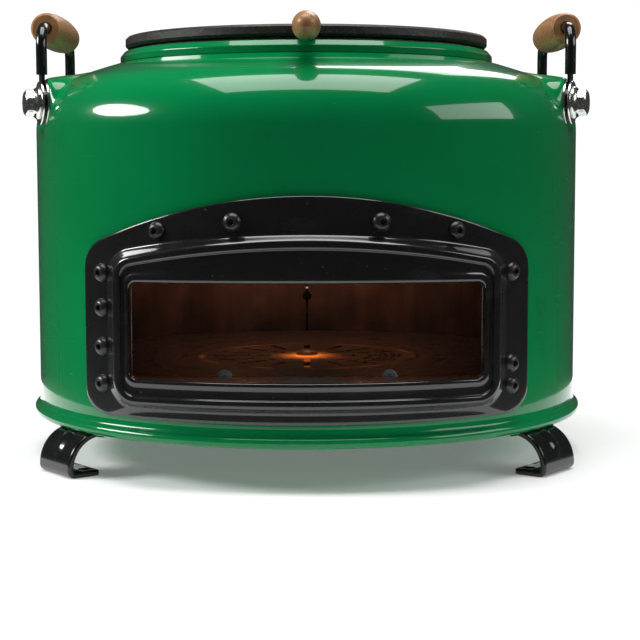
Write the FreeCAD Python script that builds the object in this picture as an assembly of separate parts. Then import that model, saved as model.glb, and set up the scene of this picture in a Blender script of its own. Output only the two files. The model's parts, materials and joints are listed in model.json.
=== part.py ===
import FreeCAD, Part

import math
import os

# A small drum wood stove: enamelled body with a domed top and a rolled bottom rim, a bolted
# window frame, a lined firebox on a slotted grate, a top hotplate lid, a rear flue outlet with
# a damper, an ash drawer with an air slide, two lifting handles and four bent strap feet.
# Millimetres. Z is up, the floor is Z = 0, the window faces -Y, and Z runs down the drum's axis.
# An azimuth is measured from the front, in degrees, and is positive towards +X.

# Drum
BODY_R = 155.0
SHEET = 1.4
SHOULDER_Z = 182.0
KNUCKLE_R = 32.0
KNUCKLE_DEG = 70.0
MOUTH_R = 91.0

# Base pan and rolled rim
PAN_BOTTOM = 24.05
PAN_TOP = 25.25
RIM_R = 158.5
RIM_LOW = 22.85
RIM_HIGH = 28.9

# Window frame
FRAME_SEAT_R = 155.3
FRAME_FACE_R = 157.0
FRAME_HALF = 115.6
FRAME_LOW = 35.0
FRAME_PEAK = 148.1
FRAME_ARCH_R = 258.0
CREASE_HALF = 101.0
CREASE_LOW = 42.0
CREASE_PEAK = 129.5
CREASE_ARCH_R = 462.0
PANEL_R = 202.0
PANEL_CENTRE_Y = 43.5
PANEL_SHEET = 1.6
BEAD_W = 4.0
BEAD_RISE = 2.3
OPEN_HALF = 89.0
OPEN_LOW = 54.4
OPEN_HIGH = 104.8
RETURN_BACK = 128.3
RETURN_SHEET = 1.4

# Window pane
GLASS_FRONT = 127.0
GLASS_BACK = 123.0
GLASS_HALF = 92.0
GLASS_LOW = 53.0
GLASS_HIGH = 107.5
CUTOUT_HALF = 98.6
CUTOUT_LOW = 50.5
CUTOUT_HIGH = 112.0
CLIP_X = 42.0
CLIP_W = 8.0
CLIP_LOW = 51.7
CLIP_TOP = 59.4
CLIP_SHEET = 1.2

# Frame screws: azimuth and height of each
LEFT_SCREWS = [(-42.3, 108.3), (-42.3, 90.3), (-42.3, 70.2), (-42.3, 51.0)]
RIGHT_SCREWS = [(42.4, 108.5), (42.4, 61.0), (42.4, 49.5)]
TOP_SCREWS = [(-28.5, 130.3), (-13.5, 135.2), (13.5, 135.2), (28.5, 130.3)]
M5_HEAD_R = 4.75
M5_HEAD_H = 2.75
M5_HOLE_R = 2.7
M5_SHANK_END = 149.0
M5_NUT_AF = 8.0
M5_SHANK_R = 2.5
M5_NUT_BORE_R = 2.52
SOCKET_AF = 3.0
SOCKET_FLOOR = 0.9

# Firebox
LINER_R = 146.5
LINER_T = 1.0
LINER_TOP = 181.0
LINER_SLIT = 1.7
LINER_LAP = 8.6
KEYHOLE_R = 3.0
KEYHOLE_Z = 75.0
HEARTH_R = 145.2
HEARTH_LOW = 48.5
HEARTH_TOP = 51.5
GRATE_R = 62.0
GRATE_LOW = 49.5
GRATE_LEDGE = 4.0
GRATE_GAP = 0.3
GRATE_SLOTS = [(8, 14.0, 29.0), (16, 35.0, 54.0)]
SLOT_R = 1.8
GRATE_BORE_R = 3.2
GRATE_BOLT_R = 3.0
GRATE_HEAD_R = 6.5
GRATE_HEAD_TOP = 55.5
RING_LOW = 46.5
RING_OUT_R = 148.5
RING_IN_R = 134.0
POST_REACH = 141.0
POST_R = 5.0

# Ash drawer and air slide
TRAY_HALF = 62.0
TRAY_FRONT_Y = -70.0
TRAY_LOW = 31.5
TRAY_HIGH = 45.0
TRAY_SHEET = 1.2
DRAWER_SEAT_R = 155.6
DRAWER_FACE_R = 157.4
DRAWER_HALF = 70.0
DRAWER_LOW = 29.6
DRAWER_HIGH = 47.2
SLIDE_IN_R = 157.7
SLIDE_OUT_R = 158.9
AIR_HOLES = [-15.5, -8.5, 8.5, 15.5]
AIR_HOLE_R = 4.5
AIR_TRAVEL = 3.5
SLIDE_DEG = 25.2
SLIDE_LOW = 32.5
SLIDE_HIGH = 44.3
SLIDE_SCREWS = [-22.0, 22.0]
SLIDE_SCREW_R = 1.65
SLIDE_TAB = 11.9
KNOB_SCREW_R = 2.0
KNOB_LENGTH = 16.0
DRAWER_MID_Z = 38.4
RAIL_IN = 52.0
RAIL_OUT = 64.0
RAIL_END = 138.0
RAIL_T = 1.5
RAIL_WEB = 1.4

# Flue outlet and damper
FLUE_Z = 132.0
FLUE_R = 40.0
FLUE_SHEET = 1.5
FLUE_START = 143.0
FLUE_END = 212.0
FLUE_BEAD_START = 183.5
FLUE_BEAD_END = 187.0
FLUE_BEAD_RISE = 1.8
FLUE_FLANGE_R = 50.0
FLUE_FLANGE_T = 2.0
FLUE_SCREW_R = 45.6
DAMPER_Y = 173.0
DAMPER_R = 37.2
DAMPER_T = 1.5
SHAFT_R = 3.0
SHAFT_START = -44.0
SHAFT_END = 58.0
RIVET_X = 20.0
RIVET_R = 1.5
HUB_R = 7.0
HUB_START = 48.0
ARM_LENGTH = 26.0
BALL_REACH = 31.0
BALL_R = 8.0
PIN_GAP = 0.06

# Lid
COLLAR_LOW = 219.0
COLLAR_R = 107.0
COLLAR_TOP_R = 104.5
COLLAR_TOP = 227.5
SEAL_IN_R = 94.0
SEAL_OUT_R = 100.0
SEAL_TOP = 228.9
LID_LOW = 229.2
LID_HIGH = 235.6
LID_R = 104.0
LID_EDGE = 1.5
LID_GROOVES = [34.0, 58.0, 82.0]
GROOVE_HALF = 1.5
GROOVE_DEPTH = 0.9
LID_ROD_R = 2.0
LID_ROD_END = 142.0
LID_GRIP_START = 110.3
LID_GRIP_END = 146.5
HINGE_Y = 113.0
HINGE_Z = 232.4
HINGE_PIN_R = 2.5
HINGE_PIN_HALF = 21.0
TONGUE_HALF = 13.7
BARREL_R = 5.5
EAR_OUT = 19.0
EAR_IN = 14.2
EAR_R = 5.8

# Handles
HANDLE_AZIMUTH = 70.0
HANDLE_BOLT_Z = 197.0
BOSS_R = 15.0
BOSS_FACE = 152.0
BOSS_BACK = 147.0
EYE_NEAR = 153.2
EYE_FAR = 154.8
EYE_R = 9.0
WASHER_R = 12.0
WASHER_T = 1.2
M8_R = 4.0
M8_HOLE_R = 4.3
M8_AF = 13.0
M8_HEAD_H = 8.0
M8_FLANGE_R = 8.95
M8_FLANGE_EDGE = 0.9
ROD_R = 3.0
ROD_TOP_Z = 239.0
ROD_BEND_R = 12.0
GRIP_HALF = 37.0

# Feet
FOOT_AZIMUTH = 53.0
FOOT_HALF = 16.5
FOOT_T = 3.0
FOOT_START_R = 112.0
FOOT_OUT_R = 168.0
FOOT_BEND_R = 20.0
SOLE_BEND_R = 4.0
SOLE_TIP_R = 149.7
SOLE_HOLE_R = 3.4
SOLE_HOLE_OUT = 154.7
SOLE_HOLE_SIDE = 9.0
FOOT_BOLTS = [119.0, 137.0]
RIB_HALF = 2.5
RIB_RISE = 0.9
RIB_LOW = 11.5
RIB_HIGH = 22.4

Z_AXIS = FreeCAD.Vector(0, 0, 1)
ORIGIN = FreeCAD.Vector(0, 0, 0)


def vec(x, y, z):
    return FreeCAD.Vector(x, y, z)


def export(node, *solids):
    """Write one node; a group of like pieces stays a group of separate solids."""
    shape = solids[0] if len(solids) == 1 else Part.makeCompound(list(solids))
    if len(shape.Solids) != sum(len(one.Solids) for one in solids) or not shape.isValid():
        raise ValueError(node)
    shape.exportStep("parts/" + node + ".step")
    print(node, len(shape.Solids), "solids", round(shape.Volume / 1000, 2), "cm3")


def outline(start, *steps):
    """A face in the XZ plane. A step is (x, z), a line, or (xm, zm, x, z), an arc by way of xm, zm."""
    here = vec(start[0], 0, start[1])
    edges = []
    for step in steps + (start,):
        there = vec(step[-2], 0, step[-1])
        if len(step) == 4:
            edges.append(Part.Arc(here, vec(step[0], 0, step[1]), there).toShape())
        elif here.distanceToPoint(there) > 1e-6:
            edges.append(Part.makeLine(here, there))
        here = there
    return Part.Face(Part.Wire(edges))


def turned(face):
    """The solid that an XZ outline sweeps around the drum's axis."""
    return face.revolve(ORIGIN, Z_AXIS, 360)


def cap(radius, low, high):
    """The arc step of a domed end, from a radius at the height low up to the axis at the height high."""
    rise = high - low
    reach = (radius ** 2 + rise ** 2) / (2 * rise)
    half = math.asin(radius / reach) / 2
    return reach * math.sin(half), high - reach + reach * math.cos(half), 0, high


def extruded(face, near, far):
    """The solid of an XZ outline between two depths in front of the drum's axis."""
    placed = face.copy()
    placed.translate(vec(0, -near, 0))
    return placed.extrude(vec(0, near - far, 0))


def box(x0, x1, y0, y1, z0, z1):
    return Part.makeBox(x1 - x0, y1 - y0, z1 - z0, vec(x0, y0, z0))


def disc(radius, z0, z1, x=0.0, y=0.0):
    return Part.makeCylinder(radius, z1 - z0, vec(x, y, z0))


def ring(outer, inner, z0, z1):
    return disc(outer, z0, z1).cut(disc(inner, z0 - 1, z1 + 1))


def bar(radius, near, far):
    """A round bar along the front radius, between two distances from the drum's axis."""
    return Part.makeCylinder(radius, far - near, vec(0, -near, 0), vec(0, -1, 0))


def across(radius, start, end, y, z):
    """A round bar along X, from x = start to x = end."""
    return Part.makeCylinder(radius, end - start, vec(start, y, z), vec(1, 0, 0))


def hexagon(across_flats, near, far):
    """A hexagonal prism along the front radius."""
    corner = across_flats / math.sqrt(3)
    points = [vec(corner * math.sin(math.radians(60 * i)), 0, corner * math.cos(math.radians(60 * i)))
              for i in range(7)]
    return extruded(Part.Face(Part.makePolygon(points)), near, far)


def aimed(shape, azimuth, z=0.0):
    """Turn a piece made along the front radius to its azimuth and lift it to its height."""
    placed = shape.copy()
    placed.rotate(ORIGIN, Z_AXIS, azimuth)
    placed.translate(vec(0, 0, z))
    return placed


def rounded_box_face(half, low, high, corner):
    """A rectangle with rounded corners in the XZ plane."""
    k = corner * (1 - math.sqrt(0.5))
    return outline((-half + corner, low),
                   (half - corner, low),
                   (half - k, low + k, half, low + corner),
                   (half, high - corner),
                   (half - k, high - k, half - corner, high),
                   (-half + corner, high),
                   (-half + k, high - k, -half, high - corner),
                   (-half, low + corner),
                   (-half + k, low + k, -half + corner, low))


def arched_face(half, low, peak, arch_r, low_corner, top_corner):
    """A rectangle under a shallow arch, with rounded corners, in the XZ plane."""
    centre_z = peak - arch_r
    corner_x = half - top_corner
    corner_z = centre_z + math.sqrt((arch_r - top_corner) ** 2 - corner_x ** 2)
    lean = math.atan2(corner_x, corner_z - centre_z)
    touch = (arch_r * math.sin(lean), centre_z + arch_r * math.cos(lean))
    middle = (lean + math.pi / 2) / 2
    round_x = corner_x + top_corner * math.sin(middle)
    round_z = corner_z + top_corner * math.cos(middle)
    k = low_corner * (1 - math.sqrt(0.5))
    return outline((-half + low_corner, low),
                   (half - low_corner, low),
                   (half - k, low + k, half, low + low_corner),
                   (half, corner_z),
                   (round_x, round_z, touch[0], touch[1]),
                   (0, peak, -touch[0], touch[1]),
                   (-round_x, round_z, -half, corner_z),
                   (-half, low + low_corner),
                   (-half + k, low + k, -half + low_corner, low))


def drum_solid(inset, low):
    """Everything inside the drum's outer surface, less an inset, down to the height low."""
    knuckle_x = BODY_R - KNUCKLE_R
    lean = math.radians(KNUCKLE_DEG)
    crown_r = KNUCKLE_R + knuckle_x / math.cos(lean)
    crown_z = SHOULDER_Z - knuckle_x * math.tan(lean)

    def knuckle(angle):
        reach = KNUCKLE_R - inset
        return knuckle_x + reach * math.cos(angle), SHOULDER_Z + reach * math.sin(angle)

    def crown(angle):
        reach = crown_r - inset
        return reach * math.cos(angle), crown_z + reach * math.sin(angle)

    top = (0, crown(math.pi / 2)[1])
    return turned(outline((0, low),
                          (BODY_R - inset, low),
                          (BODY_R - inset, SHOULDER_Z),
                          knuckle(lean / 2) + knuckle(lean),
                          crown((lean + math.pi / 2) / 2) + top))


def screw_places():
    return LEFT_SCREWS + RIGHT_SCREWS + TOP_SCREWS


def flue_screw_places():
    offset = FLUE_SCREW_R * math.sqrt(0.5)
    swing = math.degrees(math.asin(offset / BODY_R))
    return [(180 + side * swing, FLUE_Z + rise * offset) for side in (-1, 1) for rise in (-1, 1)]


def handle_places():
    return [side * turn for side in (-1, 1) for turn in (HANDLE_AZIMUTH, 180 - HANDLE_AZIMUTH)]


def foot_places():
    return {"front_left": -FOOT_AZIMUTH, "front_right": FOOT_AZIMUTH,
            "rear_left": FOOT_AZIMUTH - 180, "rear_right": 180 - FOOT_AZIMUTH}


def button_screw(seat, end):
    """An M5 button-head screw with a hexagon socket, its head standing on the radius seat."""
    head = turned(outline((0, 0), (M5_HEAD_R, 0), cap(M5_HEAD_R, 0, M5_HEAD_H)))
    head.rotate(ORIGIN, vec(1, 0, 0), 90)
    head.translate(vec(0, -seat, 0))
    socket = hexagon(SOCKET_AF, seat + SOCKET_FLOOR, seat + M5_HEAD_H + 1)
    return head.fuse(bar(M5_SHANK_R, end, seat)).cut(socket).removeSplitter()


def hex_nut(across_flats, bore_r, near, far):
    return hexagon(across_flats, near, far).cut(bar(bore_r, near - 1, far + 1))


def base_pan():
    lip = outline((0, PAN_BOTTOM),
                  (152.0, PAN_BOTTOM),
                  (156.0, RIM_LOW),
                  (RIM_R, (RIM_LOW + RIM_HIGH) / 2, 155.6, RIM_HIGH),
                  (BODY_R, RIM_HIGH),
                  (BODY_R, PAN_TOP),
                  (0, PAN_TOP))
    pan = turned(lip)
    for azimuth in foot_places().values():
        for reach in FOOT_BOLTS:
            x = reach * math.sin(math.radians(azimuth))
            y = -reach * math.cos(math.radians(azimuth))
            pan = pan.cut(disc(M5_HOLE_R, PAN_BOTTOM - 1, PAN_TOP + 1, x, y))
    return pan


def handle_boss(inside):
    """A flat pad pressed out of the shoulder for one handle bolt."""
    filled = bar(BOSS_R, 130, BOSS_FACE)
    filled.translate(vec(0, 0, HANDLE_BOLT_Z))
    filled = filled.cut(inside)
    pad = bar(BOSS_R, BOSS_BACK, BOSS_FACE)
    pad.translate(vec(0, 0, HANDLE_BOLT_Z))
    return filled.fuse(pad)


def body_shell():
    inside = drum_solid(SHEET, PAN_TOP - 5)
    shell = drum_solid(0, PAN_TOP).cut(inside)
    boss = handle_boss(inside)
    for azimuth in handle_places():
        shell = shell.fuse(aimed(boss, azimuth))
    for azimuth in handle_places():
        shell = shell.cut(aimed(bar(BOSS_R - SHEET, BOSS_FACE, 160), azimuth, HANDLE_BOLT_Z))
        shell = shell.cut(aimed(bar(9.5, 125, BOSS_BACK), azimuth, HANDLE_BOLT_Z))
        shell = shell.cut(aimed(bar(M8_HOLE_R, 125, 160), azimuth, HANDLE_BOLT_Z))
    shell = shell.cut(disc(MOUTH_R, 200, 250))
    window = rounded_box_face(CUTOUT_HALF, CUTOUT_LOW, CUTOUT_HIGH, 8)
    shell = shell.cut(extruded(window, 80, 170))
    drawer = rounded_box_face(TRAY_HALF + 1.5, TRAY_LOW - 1, TRAY_HIGH + 1.2, 1)
    shell = shell.cut(extruded(drawer, -130, -170))
    shell = shell.cut(aimed(bar(FLUE_R + 0.4, 120, 170), 180, FLUE_Z))
    for azimuth, z in screw_places() + flue_screw_places():
        shell = shell.cut(aimed(bar(M5_HOLE_R, 140, 160), azimuth, z))
    return shell.removeSplitter()


def window_frame():
    """A sheet pressing: a flange round the drum, a raised bead and a flatter panel with an opening."""
    outer = arched_face(FRAME_HALF, FRAME_LOW, FRAME_PEAK, FRAME_ARCH_R, 12, 17)
    crease = arched_face(CREASE_HALF, CREASE_LOW, CREASE_PEAK, CREASE_ARCH_R, 14, 13)
    inner = arched_face(CREASE_HALF - BEAD_W, CREASE_LOW + BEAD_W, CREASE_PEAK - BEAD_W,
                        CREASE_ARCH_R - BEAD_W, 10, 9)
    opening = rounded_box_face(OPEN_HALF, OPEN_LOW, OPEN_HIGH, 4)
    opening_outer = rounded_box_face(OPEN_HALF + RETURN_SHEET, OPEN_LOW - RETURN_SHEET,
                                     OPEN_HIGH + RETURN_SHEET, 4 + RETURN_SHEET)
    seat = disc(FRAME_SEAT_R, 0, 200)
    band = ring(FRAME_FACE_R, FRAME_SEAT_R, 20, 160)
    flange = extruded(outer, 80, 170).common(band).cut(extruded(inner, 80, 170))

    def panel_cylinder(radius):
        return disc(radius, 20, 160, 0, PANEL_CENTRE_Y)

    bead = extruded(crease, 80, 175).cut(extruded(inner, 70, 180))
    bead = bead.common(panel_cylinder(PANEL_R + BEAD_RISE)).cut(seat)
    panel = extruded(inner, 100, 175).common(panel_cylinder(PANEL_R))
    panel = panel.cut(panel_cylinder(PANEL_R - PANEL_SHEET))
    returns = extruded(opening_outer, RETURN_BACK, 175).common(panel_cylinder(PANEL_R - PANEL_SHEET / 2))
    frame = flange.fuse([bead, panel, returns]).cut(extruded(opening, 80, 180))
    for azimuth, z in screw_places():
        frame = frame.cut(aimed(bar(M5_HOLE_R, 150, 165), azimuth, z))
    return frame.removeSplitter()


def window_glass():
    return extruded(rounded_box_face(GLASS_HALF, GLASS_LOW, GLASS_HIGH, 3), GLASS_BACK, GLASS_FRONT)


def glass_gasket():
    """A woven tape between the pane and the frame, round its top and sides."""
    tape = box(-GLASS_HALF, GLASS_HALF, -RETURN_BACK, -GLASS_FRONT, GLASS_LOW + 2, GLASS_HIGH)
    return tape.cut(box(-OPEN_HALF, OPEN_HALF, -140, -110, GLASS_LOW, OPEN_HIGH + 0.4))


def glass_retainer():
    """A sheet yoke behind the pane, with a wing that runs forward to the frame's panel."""
    back = GLASS_BACK - 1.5
    yoke = box(-GLASS_HALF, GLASS_HALF, -GLASS_BACK, -back, 62, GLASS_HIGH + 1.8)
    yoke = yoke.cut(box(-OPEN_HALF - 1, OPEN_HALF + 1, -140, -110, 55, OPEN_HIGH + 0.8))
    wing = box(-70, 70, -165, -GLASS_BACK, GLASS_HIGH + 0.3, GLASS_HIGH + 1.8)
    wing = wing.common(disc(PANEL_R - PANEL_SHEET, 100, 120, 0, PANEL_CENTRE_Y))
    return yoke.fuse(wing).removeSplitter()


def glass_clip(x):
    """A folded clip under the pane's lower edge, with a rounded tab in front of it."""
    half = CLIP_W / 2
    tab_face = outline((-half, CLIP_LOW), (half, CLIP_LOW), (half, CLIP_TOP - half),
                       (0, CLIP_TOP, -half, CLIP_TOP - half))
    clip = extruded(tab_face, GLASS_FRONT, GLASS_FRONT + CLIP_SHEET)
    clip = clip.fuse(box(-half, half, -GLASS_FRONT, -GLASS_BACK, CLIP_LOW, GLASS_LOW))
    clip = clip.fuse(box(-half, half, -GLASS_BACK, CLIP_SHEET - GLASS_BACK, CLIP_LOW, CLIP_TOP))
    clip.translate(vec(x, 0, 0))
    return clip.removeSplitter()


def liner():
    """The rolled firebox lining, open behind the window, with its seam and keyhole at the rear."""
    wall = ring(LINER_R, LINER_R - LINER_T, HEARTH_LOW, LINER_TOP)
    lap = ring(LINER_R - LINER_T, LINER_R - 1.5 * LINER_T, HEARTH_TOP, LINER_TOP)
    wall = wall.fuse(lap.common(box(-LINER_LAP, 0, 100, 160, HEARTH_TOP, LINER_TOP)))
    wall = wall.cut(box(-LINER_SLIT / 2, LINER_SLIT / 2, 100, 160, 40, 190))
    wall = wall.cut(aimed(bar(KEYHOLE_R, 120, 160), 180, KEYHOLE_Z))
    wall = wall.cut(box(-CUTOUT_HALF, CUTOUT_HALF, -160, -60, 40, CUTOUT_HIGH + 1))
    wall = wall.cut(aimed(bar(FLUE_R + 1.5, 120, 160), 180, FLUE_Z))
    return wall.removeSplitter()


def hearth_posts():
    post = disc(POST_R, PAN_TOP, RING_LOW, 0, -POST_REACH)
    return [aimed(post, azimuth) for azimuth in (45, 135, 225, 315)]


def hearth_plate():
    plate = disc(HEARTH_R, HEARTH_LOW, HEARTH_TOP)
    plate = plate.cut(disc(GRATE_R - GRATE_LEDGE, HEARTH_LOW - 1, HEARTH_TOP + 1))
    return plate.cut(disc(GRATE_R + GRATE_GAP, GRATE_LOW, HEARTH_TOP + 1))


def grate():
    """A round cast grate with two rows of radial slots."""
    plate = disc(GRATE_R, GRATE_LOW, HEARTH_TOP)
    low = GRATE_LOW - 1
    high = HEARTH_TOP + 1
    for count, inner, outer in GRATE_SLOTS:
        slot = box(-SLOT_R, SLOT_R, -outer, -inner, low, high)
        slot = slot.fuse([disc(SLOT_R, low, high, 0, -reach) for reach in (inner, outer)])
        for i in range(count):
            plate = plate.cut(aimed(slot, 360 * i / count))
    return plate.cut(disc(GRATE_BORE_R, low, high))


def grate_bolt():
    """A domed bolt through the middle of the grate."""
    end = RING_LOW + 0.1
    edge = HEARTH_TOP + 1.5
    return turned(outline((0, end),
                          (GRATE_BOLT_R, end),
                          (GRATE_BOLT_R, HEARTH_TOP),
                          (GRATE_HEAD_R, HEARTH_TOP),
                          (GRATE_HEAD_R, edge),
                          cap(GRATE_HEAD_R, edge, GRATE_HEAD_TOP)))


def grate_nut():
    nut = hexagon(10, 0, 2.75)
    nut.rotate(ORIGIN, vec(1, 0, 0), -90)
    nut.translate(vec(0, 0, RING_LOW + 0.2))
    return nut.cut(disc(GRATE_BOLT_R + 0.02, 40, 60))


def ash_tray():
    """The sheet tray; its rear end follows the curve of the drawer front."""
    reach = disc(DRAWER_SEAT_R, 0, 60)
    tray = box(-TRAY_HALF, TRAY_HALF, TRAY_FRONT_Y, 170, TRAY_LOW, TRAY_HIGH).common(reach)
    cavity = box(-TRAY_HALF + TRAY_SHEET, TRAY_HALF - TRAY_SHEET, TRAY_FRONT_Y + TRAY_SHEET, 170,
                 TRAY_LOW + TRAY_SHEET, TRAY_HIGH + 5)
    tray = tray.cut(cavity.common(disc(DRAWER_SEAT_R - TRAY_SHEET, 0, 60)))
    return tray.cut(aimed(bar(KNOB_SCREW_R + 0.1, 140, 160), 180, DRAWER_MID_Z))


def drawer_front():
    """A curved plate with air holes, and with holes for the knob and the air slide's screws."""
    strip = rounded_box_face(DRAWER_HALF, DRAWER_LOW, DRAWER_HIGH, 3)
    plate = extruded(strip, -120, -170).common(ring(DRAWER_FACE_R, DRAWER_SEAT_R, 20, 60))
    for offset in AIR_HOLES:
        plate = plate.cut(aimed(bar(AIR_HOLE_R, 150, 165), 180 + offset, DRAWER_MID_Z))
    for offset in SLIDE_SCREWS:
        plate = plate.cut(aimed(bar(SLIDE_SCREW_R + 0.05, 150, 165), 180 + offset, DRAWER_MID_Z))
    return plate.cut(aimed(bar(KNOB_SCREW_R + 0.1, 150, 165), 180, DRAWER_MID_Z))


def arc_slot(radius, azimuth, travel):
    """The cutter for a slot that lets a screw at an azimuth stay put while the air slide turns."""
    steps = 6
    hole = bar(radius, 150, 170)
    holes = [aimed(hole, azimuth - travel * i / steps, DRAWER_MID_Z) for i in range(steps + 1)]
    return holes[0].fuse(holes[1:])


def air_slide():
    """A curved shutter over the drawer front: it turns about the drum's axis to shut the air holes."""
    reach = SLIDE_OUT_R * math.sin(math.radians(SLIDE_DEG))
    strip = rounded_box_face(reach, SLIDE_LOW, SLIDE_HIGH, 2)
    plate = extruded(strip, -120, -170).common(ring(SLIDE_OUT_R, SLIDE_IN_R, 20, 60))
    for offset in AIR_HOLES:
        plate = plate.cut(aimed(bar(AIR_HOLE_R, 150, 165), 180 + offset, DRAWER_MID_Z))
    for offset in SLIDE_SCREWS:
        plate = plate.cut(arc_slot(SLIDE_SCREW_R + 0.3, 180 + offset, AIR_TRAVEL))
    plate = plate.cut(arc_slot(3.4, 180, AIR_TRAVEL))
    tab = aimed(box(-5, 5, -166, -SLIDE_OUT_R + 0.4, -1, 1), 180 + SLIDE_TAB, DRAWER_MID_Z + 4.6)
    return plate.fuse(tab).removeSplitter()


def slide_screw():
    """A flat-headed screw that guides the air slide."""
    seat = SLIDE_OUT_R + 0.3
    shank = bar(SLIDE_SCREW_R, DRAWER_SEAT_R + 0.1, seat)
    return shank.fuse(bar(3.5, seat, seat + 1.8)).removeSplitter()


def drawer_knob():
    """A turned knob on a narrow neck."""
    knob = turned(outline((0, 0),
                          (3.0, 0),
                          (3.0, 3.0),
                          (5.5, 4.6, 8.0, 7.0),
                          (11.0, 11.5, 8.5, KNOB_LENGTH),
                          (0, KNOB_LENGTH)))
    knob.rotate(ORIGIN, vec(1, 0, 0), 90)
    knob.translate(vec(0, -DRAWER_FACE_R, 0))
    knob = knob.cut(bar(KNOB_SCREW_R + 0.02, 150, DRAWER_FACE_R + 11))
    return aimed(knob, 180, DRAWER_MID_Z)


def drawer_knob_screw():
    seat = DRAWER_SEAT_R - TRAY_SHEET
    screw = bar(KNOB_SCREW_R, seat - 1, DRAWER_FACE_R + 10).fuse(bar(3.5, seat - 2.2, seat - 0.2))
    return aimed(screw.removeSplitter(), 180, DRAWER_MID_Z)


def drawer_rail(side):
    """An angle that the tray slides on, with a web that stands on the pan."""
    rail = box(RAIL_IN, RAIL_OUT, TRAY_FRONT_Y, RAIL_END, DRAWER_LOW, DRAWER_LOW + RAIL_T)
    rail = rail.fuse(box(RAIL_OUT - RAIL_WEB, RAIL_OUT, TRAY_FRONT_Y, RAIL_END, PAN_TOP, 40))
    if side < 0:
        rail = rail.mirror(ORIGIN, vec(1, 0, 0))
    return rail.removeSplitter()


def flue_spigot():
    """The outlet tube, with a swaged bead that stops the stove pipe short of the damper's shaft."""
    wall = FLUE_R - FLUE_SHEET
    middle = (FLUE_BEAD_START + FLUE_BEAD_END) / 2
    tube = turned(outline((wall, FLUE_START),
                          (FLUE_R, FLUE_START),
                          (FLUE_R, FLUE_BEAD_START),
                          (FLUE_R + FLUE_BEAD_RISE, middle, FLUE_R, FLUE_BEAD_END),
                          (FLUE_R, FLUE_END),
                          (wall, FLUE_END)))
    tube.rotate(ORIGIN, vec(1, 0, 0), 90)
    tube = aimed(tube, 180, FLUE_Z)
    return tube.cut(across(SHAFT_R + PIN_GAP, -60, 60, DAMPER_Y, FLUE_Z))


def flue_saddle():
    """The flange round the outlet tube: it follows the drum and is welded to the tube."""
    saddle = bar(FLUE_FLANGE_R, 120, 170)
    saddle.translate(vec(0, 0, FLUE_Z))
    saddle = saddle.common(ring(BODY_R + FLUE_FLANGE_T, BODY_R, 60, 200))
    saddle.translate(vec(0, 0, -FLUE_Z))
    saddle = aimed(saddle.cut(bar(FLUE_R + 0.02, 100, 200)), 180, FLUE_Z)
    for azimuth, z in flue_screw_places():
        saddle = saddle.cut(aimed(bar(M5_HOLE_R, 150, 165), azimuth, z))
    return saddle


def damper_plate():
    plate = disc(DAMPER_R, FLUE_Z + SHAFT_R, FLUE_Z + SHAFT_R + DAMPER_T, 0, DAMPER_Y)
    for x in (-RIVET_X, RIVET_X):
        plate = plate.cut(disc(RIVET_R, FLUE_Z, FLUE_Z + 10, x, DAMPER_Y))
    return plate


def damper_shaft():
    shaft = across(SHAFT_R, SHAFT_START, SHAFT_END, DAMPER_Y, FLUE_Z)
    for x in (-RIVET_X, RIVET_X):
        shaft = shaft.cut(disc(RIVET_R, FLUE_Z - 5, FLUE_Z + 10, x, DAMPER_Y))
    return shaft


def damper_rivet(x):
    top = FLUE_Z + SHAFT_R + DAMPER_T
    shank = disc(RIVET_R, FLUE_Z - SHAFT_R + 0.2, top, x, DAMPER_Y)
    return shank.fuse(disc(3.0, top, top + 1.2, x, DAMPER_Y)).removeSplitter()


def damper_handle():
    """A hub on the shaft with an arm and a ball: it lies along the flue when the damper is open."""
    middle = (HUB_START + SHAFT_END) / 2
    hub = across(HUB_R, HUB_START, SHAFT_END, DAMPER_Y, FLUE_Z)
    arm = box(middle - 2.5, middle + 2.5, DAMPER_Y, DAMPER_Y + ARM_LENGTH, FLUE_Z - 3, FLUE_Z + 3)
    ball = Part.makeSphere(BALL_R, vec(middle, DAMPER_Y + BALL_REACH, FLUE_Z))
    handle = hub.fuse([arm, ball])
    return handle.cut(across(SHAFT_R, 40, 80, DAMPER_Y, FLUE_Z)).removeSplitter()


def lid_collar(outside):
    """A welded seat ring round the mouth of the dome."""
    section = outline((MOUTH_R, COLLAR_LOW),
                      (COLLAR_R, COLLAR_LOW),
                      (COLLAR_R, COLLAR_TOP - 3),
                      (COLLAR_TOP_R, COLLAR_TOP),
                      (MOUTH_R, COLLAR_TOP))
    return turned(section).cut(outside)


def lid_seal():
    edge = SEAL_TOP - 0.6
    return turned(outline((SEAL_IN_R, COLLAR_TOP),
                          (SEAL_OUT_R, COLLAR_TOP),
                          (SEAL_OUT_R, edge),
                          (SEAL_OUT_R - 0.6, SEAL_TOP),
                          (SEAL_IN_R + 0.6, SEAL_TOP),
                          (SEAL_IN_R, edge)))


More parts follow.
